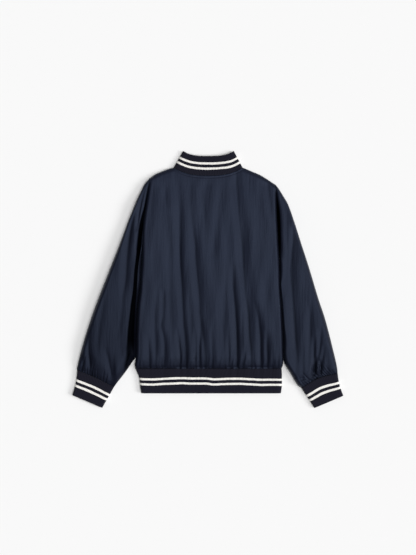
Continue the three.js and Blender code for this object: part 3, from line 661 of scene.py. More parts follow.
# Folds as on the back, those of the left sleeve first.
SLEEVE_FOLDS = (
    (10, 10, 2.0, (-180, -268, 0), (-122, -258, 2), (-62, -254, 2.5), (-2, -246, 5), (58, -242, 6),
     (118, -236, 8), (148, -231, 8), (178, -225, 6.5), (215, -214, 0)),
    (9, 9, 3.0, (0, -282, 0), (58, -275, 1.5), (118, -260, 1), (150, -250, 0)),
    (9, 9, 3.0, (-240, -328, 0), (-182, -328, 2), (-92, -315, 1.5), (-40, -306, 0)),
    (7, 9, 1.8, (-320, -345, 4), (-272, -351, 5), (-242, -353, 8), (-212, -356, 5), (-182, -356, 4),
     (-110, -342, 0)),
    (6, 7, 1.5, (-275, -378, 4), (-242, -374, 5), (-205, -378, 0)),
    (7, 8, 1.8, (-345, -286, 6.5), (-302, -287, 6.5), (-272, -290, 6.5), (-242, -296, 4), (-200, -304, 0)),
    (5, 6, 1.8, (-340, -276, 4), (-272, -281, 3), (-205, -284, 0)),
    (8, 9, 2.0, (-300, -258, 0), (-272, -252, 5), (-242, -244, 5), (-205, -232, 0)),
    (9, 16, 2.5, (-295, 259, 4), (-260, 263, 2.5), (-230, 264, 5), (-200, 262, 8), (-110, 256, 9),
     (-50, 252, 6.5), (10, 247, 4.5), (70, 250, 5), (130, 255, 4), (170, 252, 0)),
    (8, 8, 3.0, (-60, 231, 0), (10, 233, 2), (100, 237, 2), (170, 229, 0)),
    (9, 9, 2.0, (-275, 299, 1.5), (-230, 301, 4), (-140, 304, 5), (-60, 304, 0)),
    (8, 7, 1.8, (-300, 312, 6.5), (-260, 315, 9), (-230, 316, 8), (-200, 316, 5), (-165, 317, 0)),
    (6, 6, 1.8, (-300, 325, 4), (-260, 326, 4), (-200, 333, 4), (-160, 336, 2.5), (-140, 338, 0)),
    (6, 7, 1.8, (-290, 336, 4), (-260, 337, 5), (-230, 342, 4), (-190, 348, 0)),
    (7, 7, 2.0, (-300, 360, 2.5), (-250, 357, 2), (-190, 355, 0)),
    (6, 7, 2.0, (-300, 283, 4), (-280, 283, 2.5), (-200, 284, 2), (-150, 286, 0)),
    (4, 4, 1.2, (140, -212, 0), (168, -209, 8), (220, -201, 8), (262, -191, 6), (288, -184, 0)),
    (4, 5, 1.5, (-284, 327, -3), (-268, 328, -7), (-254, 327, -5), (-242, 326, 0)),
    (4, 4, 1.5, (-288, 318, 5), (-266, 319, 7), (-245, 321, 4), (-228, 322, 0)),
    (4, 4, 1.5, (-288, 335, 3), (-268, 336, 5), (-250, 335, 3), (-236, 333, 0)),
)


def edge_curve(stops):
    """Points evenly spaced along a smooth curve through these stops, at shares of its length."""
    stops = np.array(stops, float)
    last = len(stops) - 1
    t = np.linspace(0, last, 60 * last + 1)
    i = np.minimum(t.astype(int), last - 1)
    w = (t - i)[:, None]
    before, start = stops[np.maximum(i - 1, 0)], stops[i]
    end, after = stops[i + 1], stops[np.minimum(i + 2, last)]
    leaving, arriving = (end - before) / 2, (after - start) / 2
    path = (2 * w**3 - 3 * w**2 + 1) * start + (3 * w**2 - 2 * w**3) * end
    path += (w**3 - 2 * w**2 + w) * leaving + (w**3 - w**2) * arriving
    run = np.concatenate([[0], np.cumsum(np.linalg.norm(np.diff(path, axis=0), axis=1))])

    def at(share):
        place = np.asarray(share) * run[-1]
        return np.stack([np.interp(place, run, path[:, 0]), np.interp(place, run, path[:, 1])], -1)

    return at


def beside_body(side, y):
    """X of the sleeve's edge beside the body: clear of it along the armhole, and tucked under it below."""
    out = SEAM_GAP - (SEAM_GAP + TUCK) * (1 - smooth(y, UNDERARM_Y - 33, UNDERARM_Y + 7))
    return body_edge(side, y) + (-out if side == "left" else out)


def tube_spot(u):
    """Whether a ring's column is on the upper layer, and its share across from left to right."""
    upper = u <= UPPER_SHARE
    return upper, np.where(upper, u / UPPER_SHARE, (1 - u) / (1 - UPPER_SHARE))


def tube_columns(upper_flat, lower_flat):
    upper = UPPER_SHARE * layer_shares(8, upper_flat)
    lower = UPPER_SHARE + (1 - UPPER_SHARE) * layer_shares(5, lower_flat)
    return np.concatenate([upper, lower[1:]])


def sleeve_edges(side):
    """The sleeve's left and right edges, up from the cuff seam."""
    beside = [(float(beside_body(side, np.array([y]))[0]), y) for y in UNDERARM_STOPS]
    curve = edge_curve(INNER_EDGES[side] + tuple(beside))
    outer = edge_curve(OUTER_EDGES[side])

    def inner(share):
        spot = curve(share)
        off = beside_body(side, spot[..., 1]) - spot[..., 0]
        spot[..., 0] += off * smooth(spot[..., 1], UNDERARM_STOPS[0] - 12, UNDERARM_STOPS[0])
        return spot

    return (outer, inner) if side == "left" else (inner, outer)


def cuff_bow(side, upper, share):
    """How far a place on the cuff seam lies up the sleeve from the straight line, as x and y."""
    left, right = (edge(0.0) for edge in sleeve_edges(side))
    line = (right - left) / np.linalg.norm(right - left)
    rise = CUFF_BOWS[side] * np.where(upper, np.sin(np.pi * np.clip(share, 0, 1)) ** 1.5, 0)
    return rise[..., None] * np.array([-line[1], line[0]])


def sleeve_point(side, left_reach, right_reach, seed):
    left, right = sleeve_edges(side)

    def ring_spot(u, v, upper, share):
        start, end = left(v), right(v)
        width = np.linalg.norm(end - start, axis=-1)
        over = across(share, width, left_reach, right_reach)
        under = across(share, width, LOWER_REACH, LOWER_REACH)
        distance = np.where(upper, over, under)
        return start + (end - start) * (distance / width)[..., None], distance, width

    def point(u, v):
        upper, share = tube_spot(u)
        spot, distance, width = ring_spot(u, v, upper, share)
        spot = spot + cuff_bow(side, upper, share) * (1 - smooth(v, 0, 0.12))[..., None]
        seam = ring_spot(u, np.ones_like(v), upper, share)[0]
        x = spot[..., 0] + (beside_body(side, seam[..., 1]) - seam[..., 0]) * v**3
        y = spot[..., 1]
        crown = read(SLEEVE_CROWN, "share", "height", v) - fold_depth(SLEEVE_FOLDS, x, y)
        inner_away = width - distance if side == "left" else distance
        flank_width = read(FLANKS[side], "y", "width", y)
        flank = np.sin(np.clip(inner_away / flank_width, 0, 1) * np.pi / 2)
        over = roll(distance, left_reach) * roll(width - distance, right_reach)
        over = over + (np.minimum(over, flank) - over) * smooth(v, 0.3, 0.45)
        under = roll(distance, LOWER_REACH) * roll(width - distance, LOWER_REACH)
        length = 480.0
        crown += soft_waves(x, y, seed, 0.6) * smooth(v, 0, 0.1) * (1 - smooth(v, 0.9, 1))
        crown -= gathers(distance, v * length, 125, seed + 1, 8.0, 2.8)
        crown -= 0.8 * np.exp(-((v * length / 2.0) ** 2))
        tucked = smooth(y, -262, UNDERARM_STOPS[0]) * (1 - smooth(y, UNDERARM_Y - 33, UNDERARM_Y + 7))
        low = EDGE_HEIGHT - (EDGE_HEIGHT - TUCK_HEIGHT) * tucked * (1 - smooth(inner_away, 0, 25))
        own = low + (np.where(upper, crown, 0) - low) * np.where(upper, over, under)
        seam_x = body_edge(side, seam[..., 1])
        seam_y = seam[..., 1]
        from_top = top_line(seam_x, BACK_NECK_DROP, BACK_NECK_BEND) - seam_y
        upper_seam = back_height(seam_x, seam_y, from_top)
        high = EDGE_HEIGHT - SEAM_GAP
        lower_seam = high * (1 - front_factor(np.zeros_like(x), from_top, seam_x, seam_y))
        at_seam = smooth(v, SEAM_HEIGHT_FROM, 1)
        z = own + (np.where(upper, upper_seam, lower_seam) - own) * at_seam
        from_crease = np.abs(x - body_edge(side, y)) - read(CREASE_OFFSETS[side], "y", "offset", y)
        dip = armhole_dip(side, y, np.abs(from_crease)) * smooth(from_top, 0, 20)
        return np.stack([x, y, z - np.where(upper, dip, 0)], -1)

    return point


# Painted shade laid over the whole of each sleeve.
SLEEVE_SHADE = {"left": 0.12, "right": 0.03}  # the left one slopes away from the light


# Painted shade on a sleeve: on the shaded sides of its folds, in a band along its crease beside the body, between that
# crease and the armhole seam, and over the whole sleeve.
def sleeve_painted_shade(side):
    band = SHADE_BANDS[side]

    def painted_shade(x, y, z):
        offset = read(CREASE_OFFSETS[side], "y", "offset", y)
        from_seam = np.abs(x - body_edge(side, y))
        width = read(band, "y", "width", y)
        shade = read(band, "y", "dark", y) * (1 - smooth(np.abs(from_seam - offset), 0.7 * width, 1.3 * width))
        shade = np.maximum(shade, 0.3 * (1 - smooth(from_seam - offset, -4, 0)))
        return np.where(z > TUCK_HEIGHT, painted_fold_shade(SLEEVE_FOLDS, x, y) + shade, 0) + SLEEVE_SHADE[side]

    return painted_shade


sleeve_rows = np.concatenate([0.12 * shares(50)[:-1], 0.12 + 0.88 * shares(150)])
for side, left_reach, right_reach, seed in (("left", SLEEVE_REACH, 26.0, 21), ("right", 13.0, SLEEVE_REACH, 31)):
    point = sleeve_point(side, left_reach, right_reach, seed)
    sleeve = cloth_wall(f"sleeve_of_{side}", point, tube_columns(110, 50), sleeve_rows, SHELL_WALL, closed=True)
    sleeve.data.materials.append(shell_cloth)
    paint_crease_shade(sleeve, sleeve_painted_shade(side))
    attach(sleeve, "root")
    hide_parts(f"sleeve_{side}")


# Cuffs
# Tubes of dark navy rib knit, doubled, with two off-white stripes knitted in.
# The sleeve's full end is drawn into each one's upper edge.

RIB_WALL = 2.4
RIB_PITCH = 4.3
RIB_HEIGHT = 0.8
CUFF_REACH = 9.0
CUFF_CROWNS = (13.0, 15.0)  # at the free edge and at the seam
CUFF_WAIST = 3.0  # how far the outer side is drawn in at half depth
CUFF_ENDS = {"left": ((-406, -346), (-316, -384.5)), "right": ((319, -385), (406, -348))}
CUFF_DEPTH = 70.0


def rib_knit(name, stripes):
    """Two-by-two rib knit in combed cotton: matt, near-black navy, with bright off-white stripes across it.
    stripes are the ends of each stripe, up from the free edge, in millimetres."""
    material = bpy.data.materials.new(name)
    material.use_nodes = True
    tree = material.node_tree
    shader = tree.nodes["Principled BSDF"]
    along = node(tree, "ShaderNodeUVMap", {"uv_map": "UVMap"})
    split = node(tree, "ShaderNodeSeparateXYZ", Vector=along.outputs["UV"])
    place = node(tree, "ShaderNodeTexCoord")
    wander = node(tree, "ShaderNodeTexNoise", Vector=place.outputs["Object"], Scale=60.0, Detail=1.0)
    shift = node(
        tree,
        "ShaderNodeMath",
        {"operation": "MULTIPLY_ADD"},
        _0=wander.outputs["Fac"],
        _1=1.6 * MM,
        _2=split.outputs["Y"],
    )
    inside = None
    for low, high in stripes:
        above = node(tree, "ShaderNodeMath", {"operation": "GREATER_THAN"}, _0=shift.outputs[0], _1=(low + 0.8) * MM)
        below = node(tree, "ShaderNodeMath", {"operation": "LESS_THAN"}, _0=shift.outputs[0], _1=(high + 0.8) * MM)
        both = node(tree, "ShaderNodeMath", {"operation": "MULTIPLY"}, _0=above.outputs[0], _1=below.outputs[0])
        if inside is None:
            inside = both
        else:
            inside = node(tree, "ShaderNodeMath", {"operation": "ADD"}, _0=inside.outputs[0], _1=both.outputs[0])
    tone = node(tree, "ShaderNodeMix", {"data_type": "RGBA"}, _0=inside.outputs[0])
    tone.inputs[6].default_value = linear("#141421")
    tone.inputs[7].default_value = linear("#f1efea")
    tree.links.new(tone.outputs[2], shader.inputs["Base Color"])
    loops = node(tree, "ShaderNodeTexVoronoi", Vector=along.outputs["UV"], Scale=620.0)
    bump = node(tree, "ShaderNodeBump", Strength=0.5, Distance=0.0006, Height=loops.outputs["Distance"])
    tree.links.new(bump.outputs["Normal"], shader.inputs["Normal"])
    shader.inputs["Roughness"].default_value = 0.95
    shader.inputs["Specular IOR Level"].default_value = 0.2
    shader.inputs["Sheen Weight"].default_value = 0.1
    return material


def rib_tree():
    """Raises the ribs of a knit band: every point of the outer skin moves out by a rounded wave along the band."""
    tree = bpy.data.node_groups.new("raised_ribs", "GeometryNodeTree")
    for name, kind in (("Geometry", "NodeSocketGeometry"), ("Pitch", "NodeSocketFloat"), ("Height", "NodeSocketFloat")):
        tree.interface.new_socket(name, in_out="INPUT", socket_type=kind)
    tree.interface.new_socket("Material", in_out="INPUT", socket_type="NodeSocketMaterial")
    tree.interface.new_socket("Geometry", in_out="OUTPUT", socket_type="NodeSocketGeometry")
    given = node(tree, "NodeGroupInput")
    out = node(tree, "NodeGroupOutput")
    run = node(tree, "GeometryNodeInputNamedAttribute", {"data_type": "FLOAT"}, Name="along")
    skin = node(tree, "GeometryNodeInputNamedAttribute", {"data_type": "FLOAT"}, Name="outside")
    turns = node(
        tree,
        "ShaderNodeMath",
        {"operation": "DIVIDE"},
        _0=run.outputs["Attribute"],
        _1=given.outputs["Pitch"],
    )
    angle = node(tree, "ShaderNodeMath", {"operation": "MULTIPLY"}, _0=turns.outputs[0], _1=float(2 * np.pi))
    wave = node(tree, "ShaderNodeMath", {"operation": "COSINE"}, _0=angle.outputs[0])
    rise = node(tree, "ShaderNodeMath", {"operation": "MULTIPLY"}, _0=wave.outputs[0], _1=given.outputs["Height"])
    masked = node(tree, "ShaderNodeMath", {"operation": "MULTIPLY"}, _0=rise.outputs[0], _1=skin.outputs["Attribute"])
    half = node(tree, "ShaderNodeMath", {"operation": "MULTIPLY"}, _0=masked.outputs[0], _1=0.5)
    normal = node(tree, "GeometryNodeInputNormal")
    offset = node(
        tree,
        "ShaderNodeVectorMath",
        {"operation": "SCALE"},
        _0=normal.outputs["Normal"],
        Scale=half.outputs[0],
    )
    moved = node(
        tree,
        "GeometryNodeSetPosition",
        Geometry=given.outputs["Geometry"],
        Offset=offset.outputs["Vector"],
    )
    real = node(tree, "GeometryNodeRealizeInstances", Geometry=moved.outputs["Geometry"])
    dressed = node(
        tree,
        "GeometryNodeSetMaterial",
        Geometry=real.outputs["Geometry"],
        Material=given.outputs["Material"],
    )
    tree.links.new(dressed.outputs["Geometry"], out.inputs["Geometry"])
    return tree


def grown(piece, tree, **values):
    """The piece as a plain mesh, after a node tree has worked on it with these named inputs."""
    modifier = piece.modifiers.new("grow", "NODES")
    modifier.node_group = tree
    for item in tree.interface.items_tree:
        if item.in_out == "INPUT" and item.name in values:
            modifier[item.identifier] = values[item.name]
    seen = piece.evaluated_get(bpy.context.evaluated_depsgraph_get())
    mesh = bpy.data.meshes.new_from_object(seen)
    piece.modifiers.remove(modifier)
    piece.data = mesh
    return piece


raised_ribs = rib_tree()


def rib_band(name, point, columns, rows, closed, material, course):
    """A knit band: a wall of cloth with its ribs raised. The run along the band is kept for the ribs to follow.
    course(u, v, x) is how far up the knit each place is, in millimetres, which the stripes follow."""
    band = cloth_wall(name, point, columns, rows, RIB_WALL, closed=closed)
    mesh = band.data
    u, v = np.meshgrid(columns[:-1] if closed else columns, rows)
    level = np.tile(course(u, v, point(u, v)[..., 0]).ravel(), 2) * MM
    corner = np.zeros(len(mesh.loops), np.int32)
    mesh.loops.foreach_get("vertex_index", corner)
    flat = np.zeros(2 * len(corner))
    mesh.uv_layers["UVMap"].data.foreach_get("uv", flat)
    flat[1::2] = level[corner]
    mesh.uv_layers["UVMap"].data.foreach_set("uv", flat)
    count_u = len(columns) - 1 if closed else len(columns)
    middle = point(*np.meshgrid(columns, [0.5]))[0]
    run = np.concatenate([[0], np.cumsum(np.linalg.norm(np.diff(middle, axis=0), axis=1))])[:count_u]
    along = mesh.attributes.new("along", "FLOAT", "POINT")
    along.data.foreach_set("value", np.tile(run, 2 * len(rows)) * MM)
    upper = (columns > band_upper[0]) & (columns < band_upper[1])
    shown = np.tile(upper[:count_u].astype(float), 2 * len(rows))
    outside = mesh.attributes["outside"]
    both = np.zeros(len(mesh.vertices))
    outside.data.foreach_get("value", both)
    outside.data.foreach_set("value", both * shown)
    band = grown(band, raised_ribs, Pitch=RIB_PITCH * MM, Height=RIB_HEIGHT * MM, Material=material)
    return band


def cuff_point(side):
    left, right = sleeve_edges(side)
    seam_left, seam_right = left(0.0), right(0.0)
    line = (seam_right - seam_left) / np.linalg.norm(seam_right - seam_left)
    down = np.array([line[1], -line[0]])
    end_left, end_right = (np.array(end, float) for end in CUFF_ENDS[side])

    def point(u, v):
        upper, share = tube_spot(u)
        t = v[..., None]
        start = end_left + (seam_left - end_left) * t + down * SEAM_GAP * t
        end = end_right + (seam_right - end_right) * t + down * SEAM_GAP * t
        waist = CUFF_WAIST * np.sin(np.pi * t) * line
        start = start + waist if side == "left" else start
        end = end - waist if side == "right" else end
        width = np.linalg.norm(end - start, axis=-1)
        reach = np.where(upper, CUFF_REACH, LOWER_REACH)
        over = across(share, width, CUFF_REACH, CUFF_REACH)
        under = across(share, width, LOWER_REACH, LOWER_REACH)
        distance = np.where(upper, over, under)
        spot = start + (end - start) * (distance / width)[..., None]
        spot = spot + cuff_bow(side, upper, share) * (t * (2 - t))
        crown = CUFF_CROWNS[0] + (CUFF_CROWNS[1] - CUFF_CROWNS[0]) * v
        factor = roll(distance, reach) * roll(width - distance, reach)
        z = EDGE_HEIGHT + (np.where(upper, crown, 0) - EDGE_HEIGHT) * factor
        return np.stack([spot[..., 0], spot[..., 1], z], -1)

    return point


def cuff_course(side):
    return lambda u, v, x: v * CUFF_DEPTH - STRIPE_LIFTS[side]


STRIPE_LIFTS = {"left": 2.2, "right": 0.4}
cuff_knit = rib_knit("cuff_rib_knit", ((23, 29.5), (38, 44.5)))
band_upper = (0.02, UPPER_SHARE - 0.02)
for side in ("left", "right"):
    columns = tube_columns(150, 40)
    cuff = rib_band(f"cuff_of_{side}", cuff_point(side), columns, shares(24), True, cuff_knit, cuff_course(side))
    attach(cuff, "root")
    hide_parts(f"cuff_{side}")


# Hem rib
# One long band of the same rib knit round the bottom edge, with two stripes.
# Its ends overlap at the centre front as the fronts do, and hold the lowest press stud.

LOWER_SHARE = 0.15
HEM_DEPTH = 73.3
HEM_REACH = 12.0
RIB_CROWN = 15.0
HEM_RIGHT_LIFT = LEFT_LIFT + 2.6 + SEAM_GAP
HEM_EDGES = table(
    "y left right", (-342, -199, 219), (-318, -203, 222), (-294, -206, 222), (-280, -211, 222), (-267, -217, 221)
)


def band_spot(u):
    """Layer of a band's column, and its share across that layer from the band's folded edge."""
    left, right = u < LOWER_SHARE, u > 1 - LOWER_SHARE
    share = (u - LOWER_SHARE) / (1 - 2 * LOWER_SHARE)
    share = np.where(left, 1 - u / LOWER_SHARE, np.where(right, 1 - (1 - u) / LOWER_SHARE, share))
    return left, right, share


def band_columns(upper_flat, lower_flat):
    lower = np.concatenate([TURN * shares(5)[:-1], TURN + (1 - TURN) * shares(lower_flat)])
    start = LOWER_SHARE * (1 - lower[::-1])
    upper = LOWER_SHARE + (1 - 2 * LOWER_SHARE) * layer_shares(8, upper_flat)
    return np.concatenate([start[:-1], upper, 1 - start[:-1][::-1]])


def hem_point(u, v):
    on_left, on_right, share = band_spot(u)
    y = HEM_SEAM_Y - SEAM_GAP - HEM_DEPTH * (1 - v)
    left, right = read(HEM_EDGES, "y", "left", y), read(HEM_EDGES, "y", "right", y)
    left_x = left + across(share, CENTRE_X + OVERLAP / 2 - left, LOWER_REACH, 0)
    right_x = right - across(share, right - CENTRE_X + OVERLAP / 2, LOWER_REACH, 0)
    upper_x = left + across(share, right - left, HEM_REACH, HEM_REACH)
    left_z = EDGE_HEIGHT + (left_lift(left_x) - EDGE_HEIGHT) * roll(left_x - left, LOWER_REACH)
    lift = right_lift(right_x, HEM_RIGHT_LIFT)
    right_z = EDGE_HEIGHT + (lift - EDGE_HEIGHT) * roll(right - right_x, LOWER_REACH)
    crown = RIB_CROWN - 0.6 * v * fold_depth(BODY_FOLDS, upper_x, np.full_like(y, HEM_SEAM_Y + 1))
    crown += soft_waves(upper_x, y, 41, 0.4, (60, 140), (300, 600))
    factor = roll(upper_x - left, HEM_REACH) * roll(right - upper_x, HEM_REACH)
    upper_z = EDGE_HEIGHT + (crown - EDGE_HEIGHT) * factor
    x = np.where(on_left, left_x, np.where(on_right, right_x, upper_x))
    z = np.where(on_left, left_z, np.where(on_right, right_z, upper_z))
    return np.stack([x, y, z], -1)


band_upper = (LOWER_SHARE + 0.01, 1 - LOWER_SHARE - 0.01)
hem_knit = rib_knit("hem_rib_knit", ((24.8, 31.0), (40.0, 46.2)))
# How far the stripes wander down as the knit is drawn in unevenly.
HEM_WAVES = table(
    "x drop",
    (-209, 0),
    (-173, 1.5),
    (-149, 0.8),
    (-125, -0.6),
    (-77, -2.2),
    (-53, -1.2),
    (-5, -1.2),
    (19, 1.3),
    (43, 0.3),
    (90, -0.6),
    (115, 0.3),
    (163, 2.7),
    (187, 2.2),
    (221, 2.7),
)


def hem_course(u, v, x):
    return v * HEM_DEPTH + read(HEM_WAVES, "x", "drop", x)


hem = rib_band("hem_band", hem_point, band_columns(600, 60), shares(24), False, hem_knit, hem_course)
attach(hem, "root")
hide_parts("hem_rib")


# Collar
# A stand collar of the same rib knit with two stripes, sewn round the neck.
# Its back half lies over its front half, and its ends meet at the centre front.

COLLAR_TOP_LEFT_X, COLLAR_TOP_RIGHT_X = -74.0, 78.0
COLLAR_FOLD_Y, COLLAR_BACK_Y, COLLAR_FRONT_Y = 384.5, 369.0, 320.0
COLLAR_CROWN = 12.0
COLLAR_DEPTH = 58.0
COLLAR_BEND = 3.2  # the same of the collar's free edge
COLLAR_CLEAR = 1.2
COLLAR_END_GAP = 0.5
STRIPE_DROP = 2.4  # how far the stripes come down at the right end


def collar_point(u, v):
    on_left, on_right, share = band_spot(u)
    upper = ~(on_left | on_right)
    left = NECK_LEFT_X + (COLLAR_TOP_LEFT_X - NECK_LEFT_X) * v
    right = NECK_RIGHT_X + (COLLAR_TOP_RIGHT_X - NECK_RIGHT_X) * v
    width = right - left
    half = np.where(on_left, CENTRE_X - COLLAR_END_GAP - left, right - CENTRE_X - COLLAR_END_GAP)
    over = across(share, width, UPPER_REACH, UPPER_REACH)
    under = across(share, half, LOWER_REACH, 0)
    distance = np.where(upper, over, under)
    from_left = np.where(on_right, width - distance, distance)
    x = left + from_left
    seam_x = NECK_LEFT_X + (NECK_RIGHT_X - NECK_LEFT_X) * from_left / width
    middle = np.abs(2 * from_left / width - 1)
    middle = np.where(upper, middle**COLLAR_BEND, middle**2)
    back_y = top_line(seam_x, BACK_NECK_DROP, BACK_NECK_BEND)
    seam_y = np.where(upper, back_y + SEAM_GAP, top_line(seam_x, FRONT_NECK_DROP, 2.6) + COLLAR_CLEAR)
    top = np.where(upper, COLLAR_BACK_Y, COLLAR_FRONT_Y)
    top_y = top + (COLLAR_FOLD_Y - top) * middle
    y = seam_y + (top_y - seam_y) * v
    low_crown = read(BODY_CROWN, "y", "height", back_y) - fold_depth(BODY_FOLDS, seam_x, back_y)
    crown = low_crown + (COLLAR_CROWN - low_crown) * v
    factor = roll(distance, UPPER_REACH) * roll(width - distance, UPPER_REACH)
    upper_z = EDGE_HEIGHT + (crown - EDGE_HEIGHT) * factor
    lift = left_lift(np.where(on_left, x, 2 * CENTRE_X - x))
    lower_z = EDGE_HEIGHT + (lift - EDGE_HEIGHT) * roll(distance, LOWER_REACH)
    return np.stack([x, y, np.where(upper, upper_z, lower_z)], -1)


collar_knit = rib_knit("collar_rib_knit", ((16.8, 23.2), (32.3, 38.7)))


def collar_course(u, v, x):
    return v * COLLAR_DEPTH + STRIPE_DROP * smooth(x, 35, 70)


collar = rib_band("neck_band", collar_point, band_columns(280, 130), shares(20), False, collar_knit, collar_course)
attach(collar, "root")
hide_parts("collar")


# Press studs
# Brass caps under satin navy enamel, pressed through the left front's overlap, the lowest through the hem rib.
# They lie on the floor under the jacket, each with a slightly domed face and a rolled rim.

STUD_PROFILE = (  # radius and height, from the middle of the face, round the rim, to the middle of the back
    (0, 0.0),
    (2.5, 0.02),
    (4.5, 0.12),
    (5.6, 0.3),
    (5.9, 0.55),
    (6.2, 0.3),
    (6.7, 0.2),
    (7.2, 0.4),
    (7.5, 1.0),
    (7.4, 1.6),
    (6.9, 2.1),
    (6.2, 2.3),
    (0, 2.3),
)
STUD_SIDES = 48
TOP_STUD_Y = 243.0
STUD_PITCH = 96.0
HEM_STUD_Y = HEM_SEAM_Y - HEM_DEPTH / 2


def enamel():
    """Satin enamel over brass: smooth, dark navy, with a clear reflection."""
    material = bpy.data.materials.new("satin_enamel")
    material.use_nodes = True
    shader = material.node_tree.nodes["Principled BSDF"]
    shader.inputs["Base Color"].default_value = linear("#232838")
    shader.inputs["Roughness"].default_value = 0.32
    shader.inputs["IOR"].default_value = 1.52
    return material


def stud(name, y):
    """A press stud's cap, turned round its middle."""
    turn = np.linspace(0, 2 * np.pi, STUD_SIDES, endpoint=False)
    rings = [(r, z) for r, z in STUD_PROFILE if r > 0]
    points = [(CENTRE_X + r * np.cos(a), y + r * np.sin(a), z) for r, z in rings for a in turn]
    face, back_of_cap = len(points), len(points) + 1
    points += [(CENTRE_X, y, STUD_PROFILE[0][1]), (CENTRE_X, y, STUD_PROFILE[-1][1])]
    faces = []
    for k in range(STUD_SIDES):
        after = (k + 1) % STUD_SIDES
        for ring in range(len(rings) - 1):
            low, high = ring * STUD_SIDES, (ring + 1) * STUD_SIDES
            faces.append((low + k, low + after, high + after, high + k))
        last = (len(rings) - 1) * STUD_SIDES
        faces.append((face, after, k))
        faces.append((back_of_cap, last + k, last + after))
    mesh = bpy.data.meshes.new(name)
    mesh.from_pydata([tuple(c * MM for c in p) for p in points], [], faces)
    mesh.polygons.foreach_set("use_smooth", np.ones(len(mesh.polygons), bool))
    piece = bpy.data.objects.new(name, mesh)
    bpy.context.scene.collection.objects.link(piece)
    return piece


stud_enamel = enamel()
stud_places = [TOP_STUD_Y - STUD_PITCH * k for k in range(6)] + [HEM_STUD_Y]
for number, place in enumerate(stud_places, 1):
    cap = stud(f"press_stud_{number}", place)
    cap.data.materials.append(stud_enamel)
    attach(cap, "root")
    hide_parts(f"snap_{number}")


# Topstitching
# One row of lockstitch in navy polyester thread, 6 mm under the collar seam, holding the seam allowance down.
# Stitches are drawn a little thicker than the real thread, which would be lost at this distance.

STITCH_LENGTH = 3.2
STITCH_PITCH = 4.2
THREAD_RADIUS = 0.35


def polyester_thread():
    """Spun polyester thread, a shade lighter than the cloth."""
    material = bpy.data.materials.new("polyester_thread")
    material.use_nodes = True
    shader = material.node_tree.nodes["Principled BSDF"]
    shader.inputs["Base Color"].default_value = linear("#2c3448")
    shader.inputs["Roughness"].default_value = 0.6
    return material


def stitch_tree():
    """Lays a short round stitch at each point of a line, along the direction that the point carries."""
    tree = bpy.data.node_groups.new("stitches", "GeometryNodeTree")
    tree.interface.new_socket("Geometry", in_out="INPUT", socket_type="NodeSocketGeometry")
    for name in ("Length", "Radius"):
        tree.interface.new_socket(name, in_out="INPUT", socket_type="NodeSocketFloat")
    tree.interface.new_socket("Material", in_out="INPUT", socket_type="NodeSocketMaterial")
    tree.interface.new_socket("Geometry", in_out="OUTPUT", socket_type="NodeSocketGeometry")
    given = node(tree, "NodeGroupInput")
    out = node(tree, "NodeGroupOutput")
    width = node(
        tree,
        "ShaderNodeMath",
        {"operation": "DIVIDE"},
        _0=given.outputs["Radius"],
        _1=given.outputs["Length"],
    )
    doubled = node(tree, "ShaderNodeMath", {"operation": "MULTIPLY"}, _0=width.outputs[0], _1=2.0)
    bead = node(tree, "GeometryNodeMeshUVSphere", Segments=8, Rings=6, Radius=0.5)
    shape = node(tree, "ShaderNodeCombineXYZ", X=1.0, Y=doubled.outputs[0], Z=doubled.outputs[0])
    size = node(tree, "ShaderNodeVectorMath", {"operation": "SCALE"}, Scale=given.outputs["Length"])
    tree.links.new(shape.outputs["Vector"], size.inputs[0])
    along = node(tree, "GeometryNodeInputNamedAttribute", {"data_type": "FLOAT_VECTOR"}, Name="direction")
    turned = node(tree, "FunctionNodeAlignRotationToVector", {"axis": "X"}, Vector=along.outputs["Attribute"])
    laid = node(
        tree,
        "GeometryNodeInstanceOnPoints",
        Points=given.outputs["Geometry"],
        Instance=bead.outputs["Mesh"],
        Rotation=turned.outputs["Rotation"],
        Scale=size.outputs["Vector"],
    )
    real = node(tree, "GeometryNodeRealizeInstances", Geometry=laid.outputs["Instances"])
    dressed = node(
        tree,
        "GeometryNodeSetMaterial",
        Geometry=real.outputs["Geometry"],
        Material=given.outputs["Material"],
    )
    tree.links.new(dressed.outputs["Geometry"], out.inputs["Geometry"])
    return tree


seam_x = np.linspace(NECK_LEFT_X + 5, NECK_RIGHT_X - 5, 400)
seam_top = top_line(seam_x, BACK_NECK_DROP, BACK_NECK_BEND)
stitch_y = seam_top - STITCH_FROM_SEAM
stitch_z = back_surface(seam_x, stitch_y, seam_top) + 0.6 * THREAD_RADIUS
line = np.stack([seam_x, stitch_y, stitch_z], -1)
run = np.concatenate([[0], np.cumsum(np.linalg.norm(np.diff(line, axis=0), axis=1))])
stops = np.arange(STITCH_PITCH, run[-1], STITCH_PITCH)
spots = np.stack([np.interp(stops, run, line[:, axis]) for axis in range(3)], -1)
ahead = np.stack([np.interp(stops + 1, run, line[:, axis]) for axis in range(3)], -1)
mesh = bpy.data.meshes.new("collar_topstitching")
mesh.from_pydata((spots * MM).tolist(), [], [])
direction = mesh.attributes.new("direction", "FLOAT_VECTOR", "POINT")
direction.data.foreach_set("vector", (ahead - spots).ravel())
stitches = bpy.data.objects.new("collar_topstitching", mesh)
bpy.context.scene.collection.objects.link(stitches)
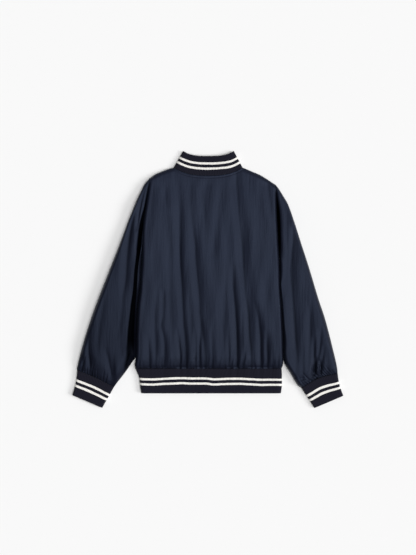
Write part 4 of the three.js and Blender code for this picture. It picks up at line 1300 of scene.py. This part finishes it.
stitches = grown(
    stitches,
    stitch_tree(),
    Length=STITCH_LENGTH * MM,
    Radius=THREAD_RADIUS * MM,
    Material=polyester_thread(),
)
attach(stitches, "root")


# Floor, light and camera
# A white table top, one broad soft light low on the right, an even white surround, and the camera overhead.

PHOTO_WIDTH, PHOTO_HEIGHT = 416, 555
PIXEL = 3.0 * MM  # what one pixel of the photograph measures on the jacket
CAMERA_HEIGHT = 4.0
CAMERA_X, CAMERA_Y = 0.0006, 0.0057

bpy.ops.mesh.primitive_plane_add(size=14, location=(0, 0, -0.0003))
floor = bpy.context.object
floor.name = "table_top"
white = bpy.data.materials.new("white_table_top")
white.use_nodes = True
white.node_tree.nodes["Principled BSDF"].inputs["Base Color"].default_value = linear("#f6f6f6")
white.node_tree.nodes["Principled BSDF"].inputs["Roughness"].default_value = 0.9
floor.data.materials.append(white)

scene = bpy.context.scene
scene.view_settings.view_transform = "Standard"
world = bpy.data.worlds.new("white_surround")
world.use_nodes = True
world.node_tree.nodes["Background"].inputs["Color"].default_value = (1, 1, 1, 1)
world.node_tree.nodes["Background"].inputs["Strength"].default_value = 0.13
scene.world = world

key = bpy.data.lights.new("key", "SUN")
key.energy = 1.5
key.angle = 0.42
key_light = bpy.data.objects.new("key", key)
scene.collection.objects.link(key_light)
key_light.location = (2.0, -0.35, 1.25)
key_light.rotation_euler = key_light.location.to_track_quat("Z", "Y").to_euler()

softbox = bpy.data.lights.new("softbox", "SUN")
softbox.energy = 2.1
softbox.angle = 0.8
softbox_light = bpy.data.objects.new("softbox", softbox)
scene.collection.objects.link(softbox_light)
softbox_light.location = (0.7, -0.3, 3.0)
softbox_light.rotation_euler = softbox_light.location.to_track_quat("Z", "Y").to_euler()

lens = bpy.data.cameras.new("overhead")
lens.sensor_fit = "VERTICAL"
lens.sensor_height = 36.0
lens.lens = lens.sensor_height * CAMERA_HEIGHT / (PHOTO_HEIGHT * PIXEL)
camera = bpy.data.objects.new("overhead", lens)
scene.collection.objects.link(camera)
camera.location = (CAMERA_X, CAMERA_Y, CAMERA_HEIGHT)
scene.camera = camera
